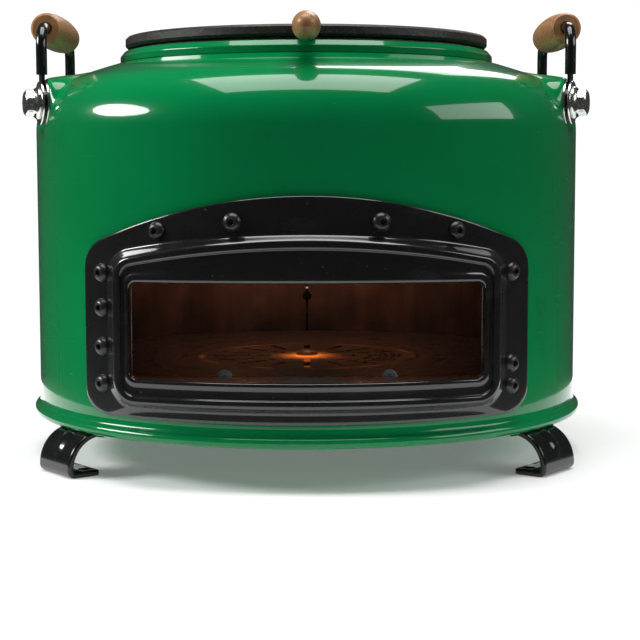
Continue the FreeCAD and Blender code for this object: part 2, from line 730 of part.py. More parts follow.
def lid():
    """A cast hotplate with ring grooves, a hinge tongue at the rear and a boss for its handle."""
    plate = turned(outline((0, LID_LOW),
                           (LID_R - LID_EDGE, LID_LOW),
                           (LID_R, LID_LOW + LID_EDGE),
                           (LID_R, LID_HIGH - 1.2),
                           (LID_R - 1.2, LID_HIGH),
                           (0, LID_HIGH)))
    for radius in LID_GROOVES:
        floor = LID_HIGH - GROOVE_DEPTH
        plate = plate.cut(ring(radius + GROOVE_HALF, radius - GROOVE_HALF, floor, LID_HIGH + 1))
    tongue = box(-TONGUE_HALF, TONGUE_HALF, 95, HINGE_Y, HINGE_Z - 3.0, HINGE_Z + 3.0)
    barrel = across(BARREL_R, -TONGUE_HALF, TONGUE_HALF, HINGE_Y, HINGE_Z)
    boss = bar(5.0, 98, 108)
    boss.translate(vec(0, 0, HINGE_Z))
    boss = boss.common(box(-20, 20, -120, -90, LID_LOW, LID_HIGH + 2))
    plate = plate.fuse([tongue, barrel, boss])
    bore = across(HINGE_PIN_R + PIN_GAP, -30, 30, HINGE_Y, HINGE_Z)
    socket = bar(LID_ROD_R, 96, 120)
    socket.translate(vec(0, 0, HINGE_Z))
    return plate.cut([bore, socket]).removeSplitter()


def lid_handle_rod():
    rod = bar(LID_ROD_R, 96, LID_ROD_END).fuse(bar(4.0, 108.2, 110.2))
    rod.translate(vec(0, 0, HINGE_Z))
    return rod.removeSplitter()


def lid_grip():
    """A turned wooden grip on the lid's handle rod."""
    grip = turned(outline((0, LID_GRIP_START),
                          (4.5, LID_GRIP_START),
                          (7.2, 124, 5.2, LID_ROD_END),
                          cap(5.2, LID_ROD_END, LID_GRIP_END)))
    grip.rotate(ORIGIN, vec(1, 0, 0), 90)
    grip = grip.cut(bar(LID_ROD_R + 0.02, 100, LID_ROD_END + 0.1))
    grip.translate(vec(0, 0, HINGE_Z))
    return grip


def hinge_bracket(outside):
    """A foot welded to the dome with two ears that carry the lid's hinge pin."""
    foot = box(-EAR_OUT, EAR_OUT, 117, 131, 205, 222)
    ears = []
    for start, end in ((-EAR_OUT, -EAR_IN), (EAR_IN, EAR_OUT)):
        ears.append(box(start, end, 108.2, 121, 205, HINGE_Z))
        ears.append(across(EAR_R, start, end, HINGE_Y, HINGE_Z))
    bracket = foot.fuse(ears).cut(outside)
    bracket = bracket.cut(across(HINGE_PIN_R, -30, 30, HINGE_Y, HINGE_Z))
    clear = across(BARREL_R + 0.8, -EAR_IN, EAR_IN, HINGE_Y, HINGE_Z)
    return bracket.cut(clear).removeSplitter()


def hinge_pin():
    """A pin with a low head at each end, outside the bracket's ears."""
    pin = across(HINGE_PIN_R, -HINGE_PIN_HALF, HINGE_PIN_HALF, HINGE_Y, HINGE_Z)
    near = EAR_OUT + 0.2
    far = near + 1.6
    heads = [across(4, start, end, HINGE_Y, HINGE_Z) for start, end in ((-far, -near), (near, far))]
    return pin.fuse(heads).removeSplitter()


def handle_rod(side):
    """A bent rod with two flattened eyes, one under each handle bolt."""
    mid_r = (EYE_NEAR + EYE_FAR) / 2
    azimuth = math.radians(HANDLE_AZIMUTH)
    x = side * mid_r * math.sin(azimuth)
    y = mid_r * math.cos(azimuth)
    k = ROD_BEND_R * (1 - math.sqrt(0.5))
    low = BOSS_R + HANDLE_BOLT_Z + 0.6
    turn_z = ROD_TOP_Z - ROD_BEND_R
    turn_y = y - ROD_BEND_R
    path = Part.Wire([
        Part.makeLine(vec(x, -y, low), vec(x, -y, turn_z)),
        Part.Arc(vec(x, -y, turn_z), vec(x, -y + k, ROD_TOP_Z - k), vec(x, -turn_y, ROD_TOP_Z)).toShape(),
        Part.makeLine(vec(x, -turn_y, ROD_TOP_Z), vec(x, turn_y, ROD_TOP_Z)),
        Part.Arc(vec(x, turn_y, ROD_TOP_Z), vec(x, y - k, ROD_TOP_Z - k), vec(x, y, turn_z)).toShape(),
        Part.makeLine(vec(x, y, turn_z), vec(x, y, low))])
    section = Part.Wire([Part.makeCircle(ROD_R, vec(x, -y, low), Z_AXIS)])
    rod = path.makePipeShell([section], True, True)
    eye = bar(EYE_R, EYE_NEAR, EYE_FAR).fuse(box(-4.5, 4.5, -EYE_FAR, -EYE_NEAR, 0, 20))
    eye = eye.cut(bar(M8_HOLE_R, 140, 170))
    for azimuth in (HANDLE_AZIMUTH, 180 - HANDLE_AZIMUTH):
        rod = rod.fuse(aimed(eye, side * azimuth, HANDLE_BOLT_Z))
    return rod.removeSplitter()


def handle_grip(side):
    """A turned wooden grip that spins on its rod."""
    grip = turned(outline((0, -GRIP_HALF),
                          (7.5, -GRIP_HALF),
                          (8.4, 3 - GRIP_HALF),
                          (10, 0, 8.4, GRIP_HALF - 3),
                          (7.5, GRIP_HALF),
                          (0, GRIP_HALF)))
    grip = grip.cut(disc(ROD_R + PIN_GAP, -GRIP_HALF - 1, GRIP_HALF + 1))
    grip.rotate(ORIGIN, vec(1, 0, 0), 90)
    x = side * (EYE_NEAR + EYE_FAR) / 2 * math.sin(math.radians(HANDLE_AZIMUTH))
    grip.translate(vec(x, 0, ROD_TOP_Z))
    return grip


def handle_washers():
    """Two plain washers on each handle bolt, one each side of the eye."""
    washers = []
    for near, far in ((BOSS_FACE, EYE_NEAR), (EYE_FAR, EYE_FAR + WASHER_T)):
        washers.append(bar(WASHER_R, near, far).cut(bar(M8_HOLE_R - 0.1, near - 1, far + 1)))
    return [aimed(washer, azimuth, HANDLE_BOLT_Z) for azimuth in handle_places() for washer in washers]


def handle_bolt():
    """An M8 hexagon flange bolt: its flange slopes up to a 13 mm hexagon."""
    seat = EYE_FAR + WASHER_T
    flange = turned(outline((0, 0), (M8_FLANGE_R, 0), (M8_FLANGE_R, M8_FLANGE_EDGE), (6.3, 3.2), (0, 3.2)))
    flange.rotate(ORIGIN, vec(1, 0, 0), 90)
    flange.translate(vec(0, -seat, 0))
    head = hexagon(M8_AF, seat + M8_FLANGE_EDGE, seat + M8_HEAD_H)
    crown = turned(outline((0, -1), (11, -1), (6.4, M8_HEAD_H), (0, M8_HEAD_H)))
    crown.rotate(ORIGIN, vec(1, 0, 0), 90)
    crown.translate(vec(0, -seat, 0))
    head = head.common(crown)
    return flange.fuse([head, bar(M8_R, 138, seat)]).removeSplitter()


def foot():
    """A bent strap: a flange under the pan, a bowed leg with a pressed rib and an inturned sole."""
    bow = FOOT_OUT_R - FOOT_BEND_R
    knee = SOLE_BEND_R
    heel = FOOT_OUT_R - SOLE_BEND_R
    half_turn = math.sqrt(0.5)
    inner_bow = FOOT_BEND_R - FOOT_T
    inner_heel = SOLE_BEND_R - FOOT_T
    top = knee + FOOT_BEND_R
    strap = outline((FOOT_START_R, top),
                    (bow, top),
                    (bow + FOOT_BEND_R * half_turn, knee + FOOT_BEND_R * half_turn, FOOT_OUT_R, knee),
                    (heel + SOLE_BEND_R * half_turn, knee - SOLE_BEND_R * half_turn, heel, 0),
                    (SOLE_TIP_R, 0),
                    (SOLE_TIP_R, FOOT_T),
                    (heel, FOOT_T),
                    (heel + inner_heel * half_turn, knee - inner_heel * half_turn, heel + inner_heel, knee),
                    (bow + inner_bow * half_turn, knee + inner_bow * half_turn, bow, top - FOOT_T),
                    (FOOT_START_R, top - FOOT_T))
    strap.translate(vec(0, -FOOT_HALF, 0))
    leg = strap.extrude(vec(0, 2 * FOOT_HALF, 0))
    rib_at = vec(bow, -RIB_HALF, knee)
    rib = Part.makeCylinder(FOOT_BEND_R + RIB_RISE, 2 * RIB_HALF, rib_at, vec(0, 1, 0))
    rib = rib.cut(Part.makeCylinder(FOOT_BEND_R - 1, 2 * RIB_HALF, rib_at, vec(0, 1, 0)))
    rib = rib.common(box(156.2, 175, -5, 5, RIB_LOW, RIB_HIGH))
    leg = leg.fuse(rib)
    for side in (-SOLE_HOLE_SIDE, SOLE_HOLE_SIDE):
        leg = leg.cut(disc(SOLE_HOLE_R, -1, FOOT_T + 1, SOLE_HOLE_OUT, side))
    for reach in FOOT_BOLTS:
        leg = leg.cut(disc(M5_HOLE_R, 15, 30, reach, 0))
    leg.rotate(ORIGIN, Z_AXIS, -90)
    return leg.removeSplitter()


def upright_fastener(shape, reach):
    """Stand a piece made along the front radius upright, at a distance in front of the axis."""
    placed = shape.copy()
    placed.rotate(ORIGIN, vec(1, 0, 0), -90)
    placed.translate(vec(0, -reach, 0))
    return placed


def foot_bolt(reach):
    """An M5 hexagon bolt through the foot's flange and the pan, its head below."""
    seat = PAN_BOTTOM - FOOT_T - 0.1
    bolt = hexagon(M5_NUT_AF, seat - 3.55, seat).fuse(bar(M5_SHANK_R, seat - 0.45, 30.2))
    return upright_fastener(bolt.removeSplitter(), reach)


def foot_nut(reach):
    return upright_fastener(hex_nut(M5_NUT_AF, M5_NUT_BORE_R, PAN_TOP + 0.05, 29.2), reach)


def main():
    os.makedirs("parts", exist_ok=True)
    outside = drum_solid(0, PAN_TOP)

    export("base_pan", base_pan())
    export("body_shell", body_shell())
    export("window_frame", window_frame())
    export("window_glass", window_glass())
    export("glass_gasket", glass_gasket())
    export("glass_retainer", glass_retainer())
    export("glass_clips", glass_clip(-CLIP_X), glass_clip(CLIP_X))
    m5_screw = button_screw(FRAME_FACE_R, M5_SHANK_END)
    thin_nut = hex_nut(M5_NUT_AF, M5_NUT_BORE_R, M5_SHANK_END + 0.4, 153.4)
    export("frame_screws", *[aimed(m5_screw, azimuth, z) for azimuth, z in screw_places()])
    export("frame_nuts", *[aimed(thin_nut, azimuth, z) for azimuth, z in screw_places()])

    export("liner", liner())
    export("hearth_ring", ring(RING_OUT_R, RING_IN_R, RING_LOW, HEARTH_LOW))
    export("hearth_posts", *hearth_posts())
    export("hearth_plate", hearth_plate())
    export("grate", grate())
    export("grate_bolt", grate_bolt())
    export("grate_nut", grate_nut())

    export("ash_tray", ash_tray())
    export("drawer_front", drawer_front())
    export("drawer_knob", drawer_knob())
    export("drawer_knob_screw", drawer_knob_screw())
    export("drawer_rails", drawer_rail(-1), drawer_rail(1))
    export("air_slide", air_slide())
    guides = [aimed(slide_screw(), 180 + offset, DRAWER_MID_Z) for offset in SLIDE_SCREWS]
    export("air_slide_screws", *guides)

    export("flue_spigot", flue_spigot())
    export("flue_saddle", flue_saddle())
    export("flue_screws", *[aimed(m5_screw, azimuth, z) for azimuth, z in flue_screw_places()])
    export("flue_nuts", *[aimed(thin_nut, azimuth, z) for azimuth, z in flue_screw_places()])
    export("damper_plate", damper_plate())
    export("damper_shaft", damper_shaft())
    export("damper_rivets", damper_rivet(-RIVET_X), damper_rivet(RIVET_X))
    export("damper_handle", damper_handle())

    export("lid_collar", lid_collar(outside))
    export("lid_seal", lid_seal())
    export("lid", lid())
    export("lid_handle_rod", lid_handle_rod())
    export("lid_grip", lid_grip())
    export("hinge_bracket", hinge_bracket(outside))
    export("hinge_pin", hinge_pin())

    for name, side in (("left", -1), ("right", 1)):
        export("handle_rod_" + name, handle_rod(side))
        export("handle_grip_" + name, handle_grip(side))
    export("handle_washers", *handle_washers())
    handle_nut = hex_nut(M8_AF, M8_R + 0.02, 140.4, BOSS_BACK - 0.05)
    export("handle_bolts", *[aimed(handle_bolt(), azimuth, HANDLE_BOLT_Z) for azimuth in handle_places()])
    export("handle_nuts", *[aimed(handle_nut, azimuth, HANDLE_BOLT_Z) for azimuth in handle_places()])

    strap = foot()
    for name, azimuth in foot_places().items():
        export("foot_" + name, aimed(strap, azimuth))
    places = [(azimuth, reach) for azimuth in foot_places().values() for reach in FOOT_BOLTS]
    export("foot_bolts", *[aimed(foot_bolt(reach), azimuth) for azimuth, reach in places])
    export("foot_nuts", *[aimed(foot_nut(reach), azimuth) for azimuth, reach in places])


main()
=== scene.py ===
import json
import math

import bmesh
import bpy
from mathutils import Matrix, Vector


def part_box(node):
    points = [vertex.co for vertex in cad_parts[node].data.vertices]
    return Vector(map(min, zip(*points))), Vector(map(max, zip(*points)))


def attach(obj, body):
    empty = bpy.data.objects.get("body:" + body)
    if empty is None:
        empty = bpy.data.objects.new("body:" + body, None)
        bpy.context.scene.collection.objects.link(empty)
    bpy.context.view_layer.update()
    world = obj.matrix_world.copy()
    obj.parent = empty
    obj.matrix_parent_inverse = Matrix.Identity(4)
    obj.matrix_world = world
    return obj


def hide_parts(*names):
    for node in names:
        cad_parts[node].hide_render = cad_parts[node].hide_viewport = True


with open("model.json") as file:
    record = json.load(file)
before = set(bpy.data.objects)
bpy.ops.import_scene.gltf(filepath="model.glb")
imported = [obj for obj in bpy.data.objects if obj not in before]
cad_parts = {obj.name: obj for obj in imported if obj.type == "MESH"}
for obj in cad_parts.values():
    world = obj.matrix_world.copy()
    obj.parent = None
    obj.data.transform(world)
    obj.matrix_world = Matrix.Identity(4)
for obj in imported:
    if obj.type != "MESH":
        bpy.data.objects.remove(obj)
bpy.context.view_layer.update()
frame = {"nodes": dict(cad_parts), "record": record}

# The looks of a small drum wood stove. Lengths in this script are millimetres, as in the design,
# and become metres where a mesh, light or camera is made. The window faces -Y, +Z is up.
# An azimuth is measured from the front, in radians, and is positive towards +X.

MM = 0.001


def corners(node):
    """A CAD node's lowest and highest corner, in millimetres."""
    low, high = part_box(node)
    return low / MM, high / MM


# Places that the frame gives
pan_low, pan_high = corners("base_pan")
flue_low, flue_high = corners("flue_spigot")
DRUM_R = corners("body_shell")[1].x

# Drum
SHEET = 1.4
SHOULDER_Z = 182.0
KNUCKLE_R = 32.0
KNUCKLE_DEG = 70.0
MOUTH_R = 91.0
BOSS_FACE = 152.0
BOSS_FLAT_R = 12.8
BOSS_EDGE_R = 17.4

# Steps of the drum's mesh: between columns, between columns on a boss, and half a boss
COLUMN_DEG = 1.8
BOSS_COLUMN_DEG = 0.28
BOSS_SPAN_DEG = 8.6

# Openings in the drum's wall
WINDOW_HALF = 98.6
WINDOW_LOW = 50.5
WINDOW_HIGH = 112.0
DRAWER_HALF = 63.5
DRAWER_LOW = 30.5
DRAWER_HIGH = 46.2
FLUE_HOLE_R = 41.0

# Pan
PAN_FLOOR = 24.05
PAN_TOP = 25.25
ROLL_R = 3.05

# Window frame
FLANGE_R = 157.0
SEAT_R = 155.3
PANEL_R = 202.0
PANEL_CENTRE_Y = 43.5
PANEL_SHEET = 1.6
RETURN_BACK_Y = -128.3
BEAD_RISE = 2.25
MOUTH_DROP = -2.2

# Fasteners
BOLT_SEAT_R = 156.0
WASHER_SEATS = (BOSS_FACE, 154.8)
HEAD_TURN = 7

# Glass clips
CLIP_HALF = 4.0
CLIP_BEND_Y = -127.1
CLIP_FLOOR_Z = 52.9

# Feet. A bend is its centre's distance from the axis, its centre's height and its outer radius.
# A sole's hole is its place to the side and to the front, and its radius.
STRAP_HALF = 16.5
STRAP = 3.0
STRAP_START = 112
STRAP_BEND = (148, 4, 20.0)
SOLE_BEND = (164, 4, 4.0)
SOLE_LENGTH = 14.3
SOLE_HOLE = (9.0, -154.7, 3.4)
RIB_RISE = 0.8

# Firebox
GRATE_R = 62.0

# Studio. The floor's radius is in metres; the others are strengths of light.
FLOOR_R = 0.36
ROOM_GLOW = 0.045
BACKDROP_GLOW = 1.05
FLOOR_GLOW = 0.15


# ---------------------------------------------------------------- meshes

def add_mesh(name, verts, faces, sharp=40.0):
    """A smooth-shaded piece from points in millimetres, with edges over an angle kept sharp."""
    mesh = bpy.data.meshes.new(name)
    mesh.from_pydata([tuple(c * MM for c in v) for v in verts], [], faces)
    work = bmesh.new()
    work.from_mesh(mesh)
    bmesh.ops.remove_doubles(work, verts=work.verts, dist=1e-7)
    bmesh.ops.recalc_face_normals(work, faces=work.faces)
    work.to_mesh(mesh)
    work.free()
    mesh.shade_smooth()
    mesh.set_sharp_from_angle(angle=math.radians(sharp))
    piece = bpy.data.objects.new(name, mesh)
    bpy.context.scene.collection.objects.link(piece)
    return piece


def loft(loops, ring=False):
    """Quads between closed loops of one count. A ring joins its last loop to its first."""
    count = len(loops[0])
    verts = [p for loop in loops for p in loop]
    faces = []
    for i in range(len(loops) - (0 if ring else 1)):
        a = i * count
        b = (i + 1) % len(loops) * count
        for j in range(count):
            k = (j + 1) % count
            faces.append((a + j, a + k, b + k, b + j))
    return verts, faces


def join(*parts):
    """Several (verts, faces) as one."""
    verts, faces = [], []
    for part_verts, part_faces in parts:
        base = len(verts)
        verts.extend(part_verts)
        faces.extend(tuple(base + i for i in face) for face in part_faces)
    return verts, faces


def moved(part, matrix):
    """A part with its points put through a matrix."""
    verts, faces = part
    return [tuple(matrix @ Vector(v)) for v in verts], faces


def circle(radius, z, count):
    return [(radius * math.cos(math.tau * i / count), radius * math.sin(math.tau * i / count), z)
            for i in range(count)]


def lathe(profile, count=96):
    """A profile of (radius, z) turned about Z. It starts and ends on the axis, or is open."""
    return loft([circle(radius, z, count) for radius, z in profile])


def arc(cx, cz, radius, start, end, steps):
    """Points of (radius, z) along an arc, from one angle to another, in degrees."""
    angles = [math.radians(start + (end - start) * i / steps) for i in range(steps + 1)]
    return [(cx + radius * math.cos(a), cz + radius * math.sin(a)) for a in angles]


def radial(azimuth, reach, z):
    """The matrix that stands a piece made along +Z on the drum's wall, at an azimuth in radians."""
    side = math.sin(azimuth)
    ahead = -math.cos(azimuth)
    return Matrix(((-ahead, 0, side, side * reach),
                   (side, 0, ahead, ahead * reach),
                   (0, 1, 0, z),
                   (0, 0, 0, 1)))


def along_y(x, y, z):
    """The matrix that lays a piece made along +Z down along -Y."""
    return Matrix(((1, 0, 0, x), (0, 0, -1, y), (0, 1, 0, z), (0, 0, 0, 1)))


def solid_centres(node):
    """The mean point of each separate solid of a CAD node, in millimetres."""
    work = bmesh.new()
    work.from_mesh(frame["nodes"][node].data)
    bmesh.ops.remove_doubles(work, verts=work.verts, dist=1e-6)
    left = set(work.verts)
    centres = []
    while left:
        found = [left.pop()]
        for vert in found:
            for edge in vert.link_edges:
                other = edge.other_vert(vert)
                if other in left:
                    left.remove(other)
                    found.append(other)
        centres.append(sum((v.co for v in found), Vector()) / len(found) / MM)
    work.free()
    return sorted(centres, key=lambda c: (round(c.x, 2), round(c.y, 2), round(c.z, 2)))


def softened(node, width):
    """A copy of a CAD node with its sharp edges rounded, to stand for it."""
    work = bmesh.new()
    work.from_mesh(frame["nodes"][node].data)
    bmesh.ops.remove_doubles(work, verts=work.verts, dist=1e-6)
    bmesh.ops.dissolve_limit(work, angle_limit=math.radians(0.6), verts=work.verts, edges=work.edges)
    work.verts.index_update()
    verts = [tuple(v.co / MM) for v in work.verts]
    faces = [[v.index for v in face.verts] for face in work.faces]
    work.free()
    piece = add_mesh(node + "_finished", verts, faces, 30)
    bevel = piece.modifiers.new("rounded_edges", "BEVEL")
    bevel.width = width * MM
    bevel.segments = 2
    bevel.limit_method = "ANGLE"
    bevel.angle_limit = math.radians(32)
    bevel.harden_normals = True
    return piece


def finish_piece(piece, body, slot, material, *nodes):
    """Give a piece its material and its body, and hide the CAD nodes that it stands for. slot is not used."""
    piece.data.materials.clear()
    piece.data.materials.append(material)
    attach(piece, body)
    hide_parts(*nodes)
    return piece


# ---------------------------------------------------------------- materials

class Shader:
    """A node material around one Principled shader, in the stove's own coordinates in metres."""

    def __init__(self, name, **values):
        self.material = bpy.data.materials.new(name)
        self.material.use_nodes = True
        self.tree = self.material.node_tree
        self.surface = self.tree.nodes["Principled BSDF"]
        self.place = self.add("ShaderNodeTexCoord").outputs["Object"]
        for key, value in values.items():
            self.surface.inputs[key.replace("_", " ").title().replace("Ior", "IOR")].default_value = value

    def add(self, kind, **settings):
        node = self.tree.nodes.new(kind)
        for key, value in settings.items():
            setattr(node, key, value)
        return node

    def link(self, output, socket):
        self.tree.links.new(output, socket)

    def stretched(self, scale):
        node = self.add("ShaderNodeMapping")
        node.inputs["Scale"].default_value = scale
        self.link(self.place, node.inputs["Vector"])
        return node.outputs["Vector"]

    def noise(self, scale, detail=3.0, stretch=None, vector=None):
        node = self.add("ShaderNodeTexNoise")
        node.inputs["Scale"].default_value = scale
        node.inputs["Detail"].default_value = detail
        source = vector or (self.stretched(stretch) if stretch else self.place)
        self.link(source, node.inputs["Vector"])
        return node.outputs["Fac"]

    def voronoi(self, scale):
        node = self.add("ShaderNodeTexVoronoi")
        node.inputs["Scale"].default_value = scale
        self.link(self.place, node.inputs["Vector"])
        return node.outputs["Distance"]

    def between(self, value, low, high, to_low=0.0, to_high=1.0):
        """value, mapped from one range to another and clamped."""
        node = self.add("ShaderNodeMapRange")
        for key, number in (("From Min", low), ("From Max", high), ("To Min", to_low), ("To Max", to_high)):
            node.inputs[key].default_value = number
        self.link(value, node.inputs["Value"])
        return node.outputs["Result"]

    def math(self, operation, a, b):
        node = self.add("ShaderNodeMath", operation=operation)
        for socket, value in zip(node.inputs, (a, b)):
            if isinstance(value, (int, float)):
                socket.default_value = value
            else:
                self.link(value, socket)
        return node.outputs["Value"]

    def blend(self, share, first, second):
        """A colour between two, where each is a colour or another blend."""
        node = self.add("ShaderNodeMix", data_type="RGBA")
        self.link(share, node.inputs["Factor"])
        for socket, value in ((node.inputs[6], first), (node.inputs[7], second)):
            if isinstance(value, tuple):
                socket.default_value = (*value, 1.0)
            else:
                self.link(value, socket)
        return node.outputs[2]

    def colour(self, output):
        self.link(output, self.surface.inputs["Base Color"])

    def rough(self, output):
        self.link(output, self.surface.inputs["Roughness"])

    def bump(self, height, depth):
        """Add relief of a depth in millimetres. Calls stack."""
        node = self.add("ShaderNodeBump")
        node.inputs["Strength"].default_value = 1.0
        node.inputs["Distance"].default_value = depth * MM
        self.link(height, node.inputs["Height"])
        normal = self.surface.inputs["Normal"]
        if normal.links:
            self.link(normal.links[0].from_socket, node.inputs["Normal"])
        self.link(node.outputs["Normal"], normal)

    def cylinder(self):
        """Coordinates of (angle, height, radius) about the drum's axis."""
        split = self.add("ShaderNodeSeparateXYZ")
        self.link(self.place, split.inputs["Vector"])
        x, y, z = split.outputs
        angle = self.math("ARCTAN2", x, y)
        squares = self.math("ADD", self.math("MULTIPLY", x, x), self.math("MULTIPLY", y, y))
        return angle, z, self.math("SQRT", squares, 0.0)

    def vector(self, x, y, z):
        node = self.add("ShaderNodeCombineXYZ")
        for socket, value in zip(node.inputs, (x, y, z)):
            if isinstance(value, (int, float)):
                socket.default_value = value
            else:
                self.link(value, socket)
        return node.outputs["Vector"]


def green_enamel():
    """Deep green vitreous enamel: slight flow, orange peel, dust, hair scratches. Sooty inside the drum."""
    s = Shader("green_enamel", coat_weight=1.0, coat_roughness=0.03, coat_ior=1.38,
               specular_ior_level=0.08)
    flow = s.between(s.noise(9.0, 2.0), 0.35, 0.65)
    tone = s.blend(flow, (0.0, 0.178, 0.048), (0.0, 0.205, 0.058))
    pool = s.between(s.noise(60.0, 4.0), 0.62, 0.72)
    tone = s.blend(s.math("MULTIPLY", pool, 0.35), tone, (0.0, 0.145, 0.036))
    dust = s.between(s.noise(900.0, 2.0), 0.745, 0.79)
    tone = s.blend(s.math("MULTIPLY", dust, 0.5), tone, (0.10, 0.24, 0.15))
    height, radius = s.cylinder()[1:]
    above_pan = s.between(height, 0.033, 0.034)
    below_dome = s.between(height, 0.180, 0.184, 1.0, 0.0)
    inner_face = s.between(radius, 0.1540, 0.1545, 1.0, 0.0)
    inside = s.math("MULTIPLY", s.math("MULTIPLY", above_pan, below_dome), inner_face)
    s.colour(s.blend(inside, tone, (0.006, 0.004, 0.003)))
    scratch = s.between(s.noise(70.0, 6.0, (1.0, 1.0, 14.0)), 0.68, 0.74)
    s.rough(s.math("ADD", s.between(scratch, 0.0, 1.0, 0.20, 0.34), s.math("MULTIPLY", dust, 0.2)))
    s.bump(s.noise(170.0, 2.0), 0.009)
    s.bump(scratch, 0.002)
    return s.material


def black_enamel():
    """Satin black enamel on the pressed frame: fine orange peel, dust and handling marks."""
    s = Shader("black_enamel", coat_weight=0.8, coat_roughness=0.04, coat_ior=1.7,
               specular_ior_level=0.15)
    cloud = s.between(s.noise(35.0, 5.0), 0.35, 0.7)
    tone = s.blend(cloud, (0.0050, 0.0050, 0.0055), (0.0085, 0.0085, 0.009))
    dust = s.between(s.noise(620.0, 3.0), 0.725, 0.76)
    smear = s.between(s.noise(28.0, 6.0, (1.0, 1.0, 3.0)), 0.60, 0.75)
    tone = s.blend(s.math("MULTIPLY", smear, 0.25), tone, (0.035, 0.034, 0.033))
    s.colour(s.blend(s.math("MULTIPLY", dust, 0.55), tone, (0.16, 0.155, 0.15)))
    satin = s.between(s.noise(90.0, 4.0), 0.3, 0.7, 0.26, 0.34)
    s.rough(s.math("ADD", satin, s.math("MULTIPLY", smear, 0.1)))
    s.bump(s.noise(1500.0, 2.0), 0.005)
    s.bump(s.noise(240.0, 3.0), 0.012)
    return s.material


def black_gloss():
    """Gloss black paint on the feet and rods: orange peel, dust, scuffs."""
    s = Shader("black_gloss", coat_weight=0.45, coat_roughness=0.05, specular_ior_level=0.3)
    scuff = s.between(s.noise(160.0, 6.0), 0.66, 0.72)
    dust = s.between(s.noise(1100.0, 2.0), 0.74, 0.78)
    tone = s.blend(s.noise(40.0, 3.0), (0.0035, 0.0038, 0.0042), (0.007, 0.0076, 0.008))
    tone = s.blend(s.math("MULTIPLY", scuff, 0.3), tone, (0.09, 0.09, 0.09))
    s.colour(s.blend(s.math("MULTIPLY", dust, 0.4), tone, (0.2, 0.2, 0.2)))
    gloss = s.between(s.noise(80.0, 3.0), 0.3, 0.7, 0.16, 0.24)
    s.rough(s.math("ADD", gloss, s.math("MULTIPLY", scuff, 0.3)))
    s.bump(s.noise(300.0, 2.0), 0.010)
    return s.material


def black_screws():
    """Black oxide on steel, worn a little bright in patches."""
    s = Shader("black_screws", metallic=0.3, specular_ior_level=0.6)
    wear = s.between(s.noise(520.0, 5.0), 0.58, 0.72)
    s.colour(s.blend(s.math("MULTIPLY", wear, 0.3), (0.020, 0.020, 0.022), (0.060, 0.060, 0.062)))
    s.rough(s.between(s.noise(700.0, 3.0), 0.3, 0.7, 0.27, 0.36))
    s.bump(s.noise(1600.0, 2.0), 0.006)
    return s.material


def zinc():
    """Bright zinc plate with a faint warm and blue passivation and dull stains."""
    s = Shader("zinc", metallic=1.0)
    tint = s.between(s.noise(190.0, 3.0), 0.35, 0.65)
    tone = s.blend(tint, (0.62, 0.66, 0.70), (0.74, 0.73, 0.66))
    stain = s.between(s.noise(420.0, 5.0), 0.60, 0.72)
    s.colour(s.blend(s.math("MULTIPLY", stain, 0.5), tone, (0.33, 0.31, 0.27)))
    shine = s.between(s.noise(350.0, 4.0), 0.3, 0.7, 0.14, 0.24)
    s.rough(s.math("ADD", shine, s.math("MULTIPLY", stain, 0.2)))
    s.bump(s.noise(650.0, 3.0), 0.010)
    return s.material


def plain_sheet():
    """Plain rolled sheet: rolling lines, dull patches and a little soot."""
    s = Shader("plain_sheet", metallic=0.9)
    lines = s.noise(900.0, 2.0, (1.0, 0.03, 1.0))
    tone = s.blend(lines, (0.33, 0.335, 0.34), (0.45, 0.45, 0.445))
    soot = s.between(s.noise(45.0, 6.0), 0.50, 0.75)
    s.colour(s.blend(s.math("MULTIPLY", soot, 0.6), tone, (0.10, 0.09, 0.08)))
    s.rough(s.math("ADD", s.between(lines, 0.3, 0.7, 0.32, 0.42), s.math("MULTIPLY", soot, 0.2)))
    s.bump(lines, 0.006)
    return s.material


def flue_steel():
    """Brushed stainless steel: fine lines round the outlet, and a straw heat tint in patches."""
    s = Shader("flue_steel", metallic=1.0)
    lines = s.noise(1000.0, 3.0, (0.06, 1.0, 0.06))
    tone = s.blend(lines, (0.42, 0.415, 0.40), (0.62, 0.61, 0.59))
    heat = s.between(s.noise(22.0, 3.0), 0.45, 0.65)
    s.colour(s.blend(s.math("MULTIPLY", heat, 0.5), tone, (0.46, 0.36, 0.22)))
    s.rough(s.between(lines, 0.3, 0.7, 0.22, 0.36))
    s.bump(lines, 0.008)
    return s.material


def heated_steel():
    """The lining: sheet browned by fire in clouds, with ash streaks, and darker in patches low down, next to
    the hearth.
    """
    s = Shader("heated_steel", metallic=0.55, specular_ior_level=0.4)
    height = s.cylinder()[1]
    cloud = s.between(s.noise(14.0, 5.0), 0.35, 0.68)
    tone = s.blend(cloud, (0.054, 0.021, 0.012), (0.150, 0.066, 0.038))
    streak = s.between(s.noise(90.0, 4.0, (1.0, 1.0, 0.07)), 0.42, 0.75)
    tone = s.blend(s.math("MULTIPLY", streak, 0.45), tone, (0.19, 0.110, 0.075))
    # Darker in patches from 85 mm down to the hearth at 50 mm.
    near_hearth = s.between(height, 0.050, 0.085, 1.0, 0.0)
    soot = s.math("MULTIPLY", near_hearth, s.between(s.noise(40.0, 4.0), 0.3, 0.6))
    s.colour(s.blend(soot, tone, (0.020, 0.013, 0.010)))
    s.rough(s.between(s.noise(60.0, 5.0), 0.3, 0.7, 0.34, 0.55))
    s.bump(s.noise(500.0, 4.0), 0.02)
    return s.material


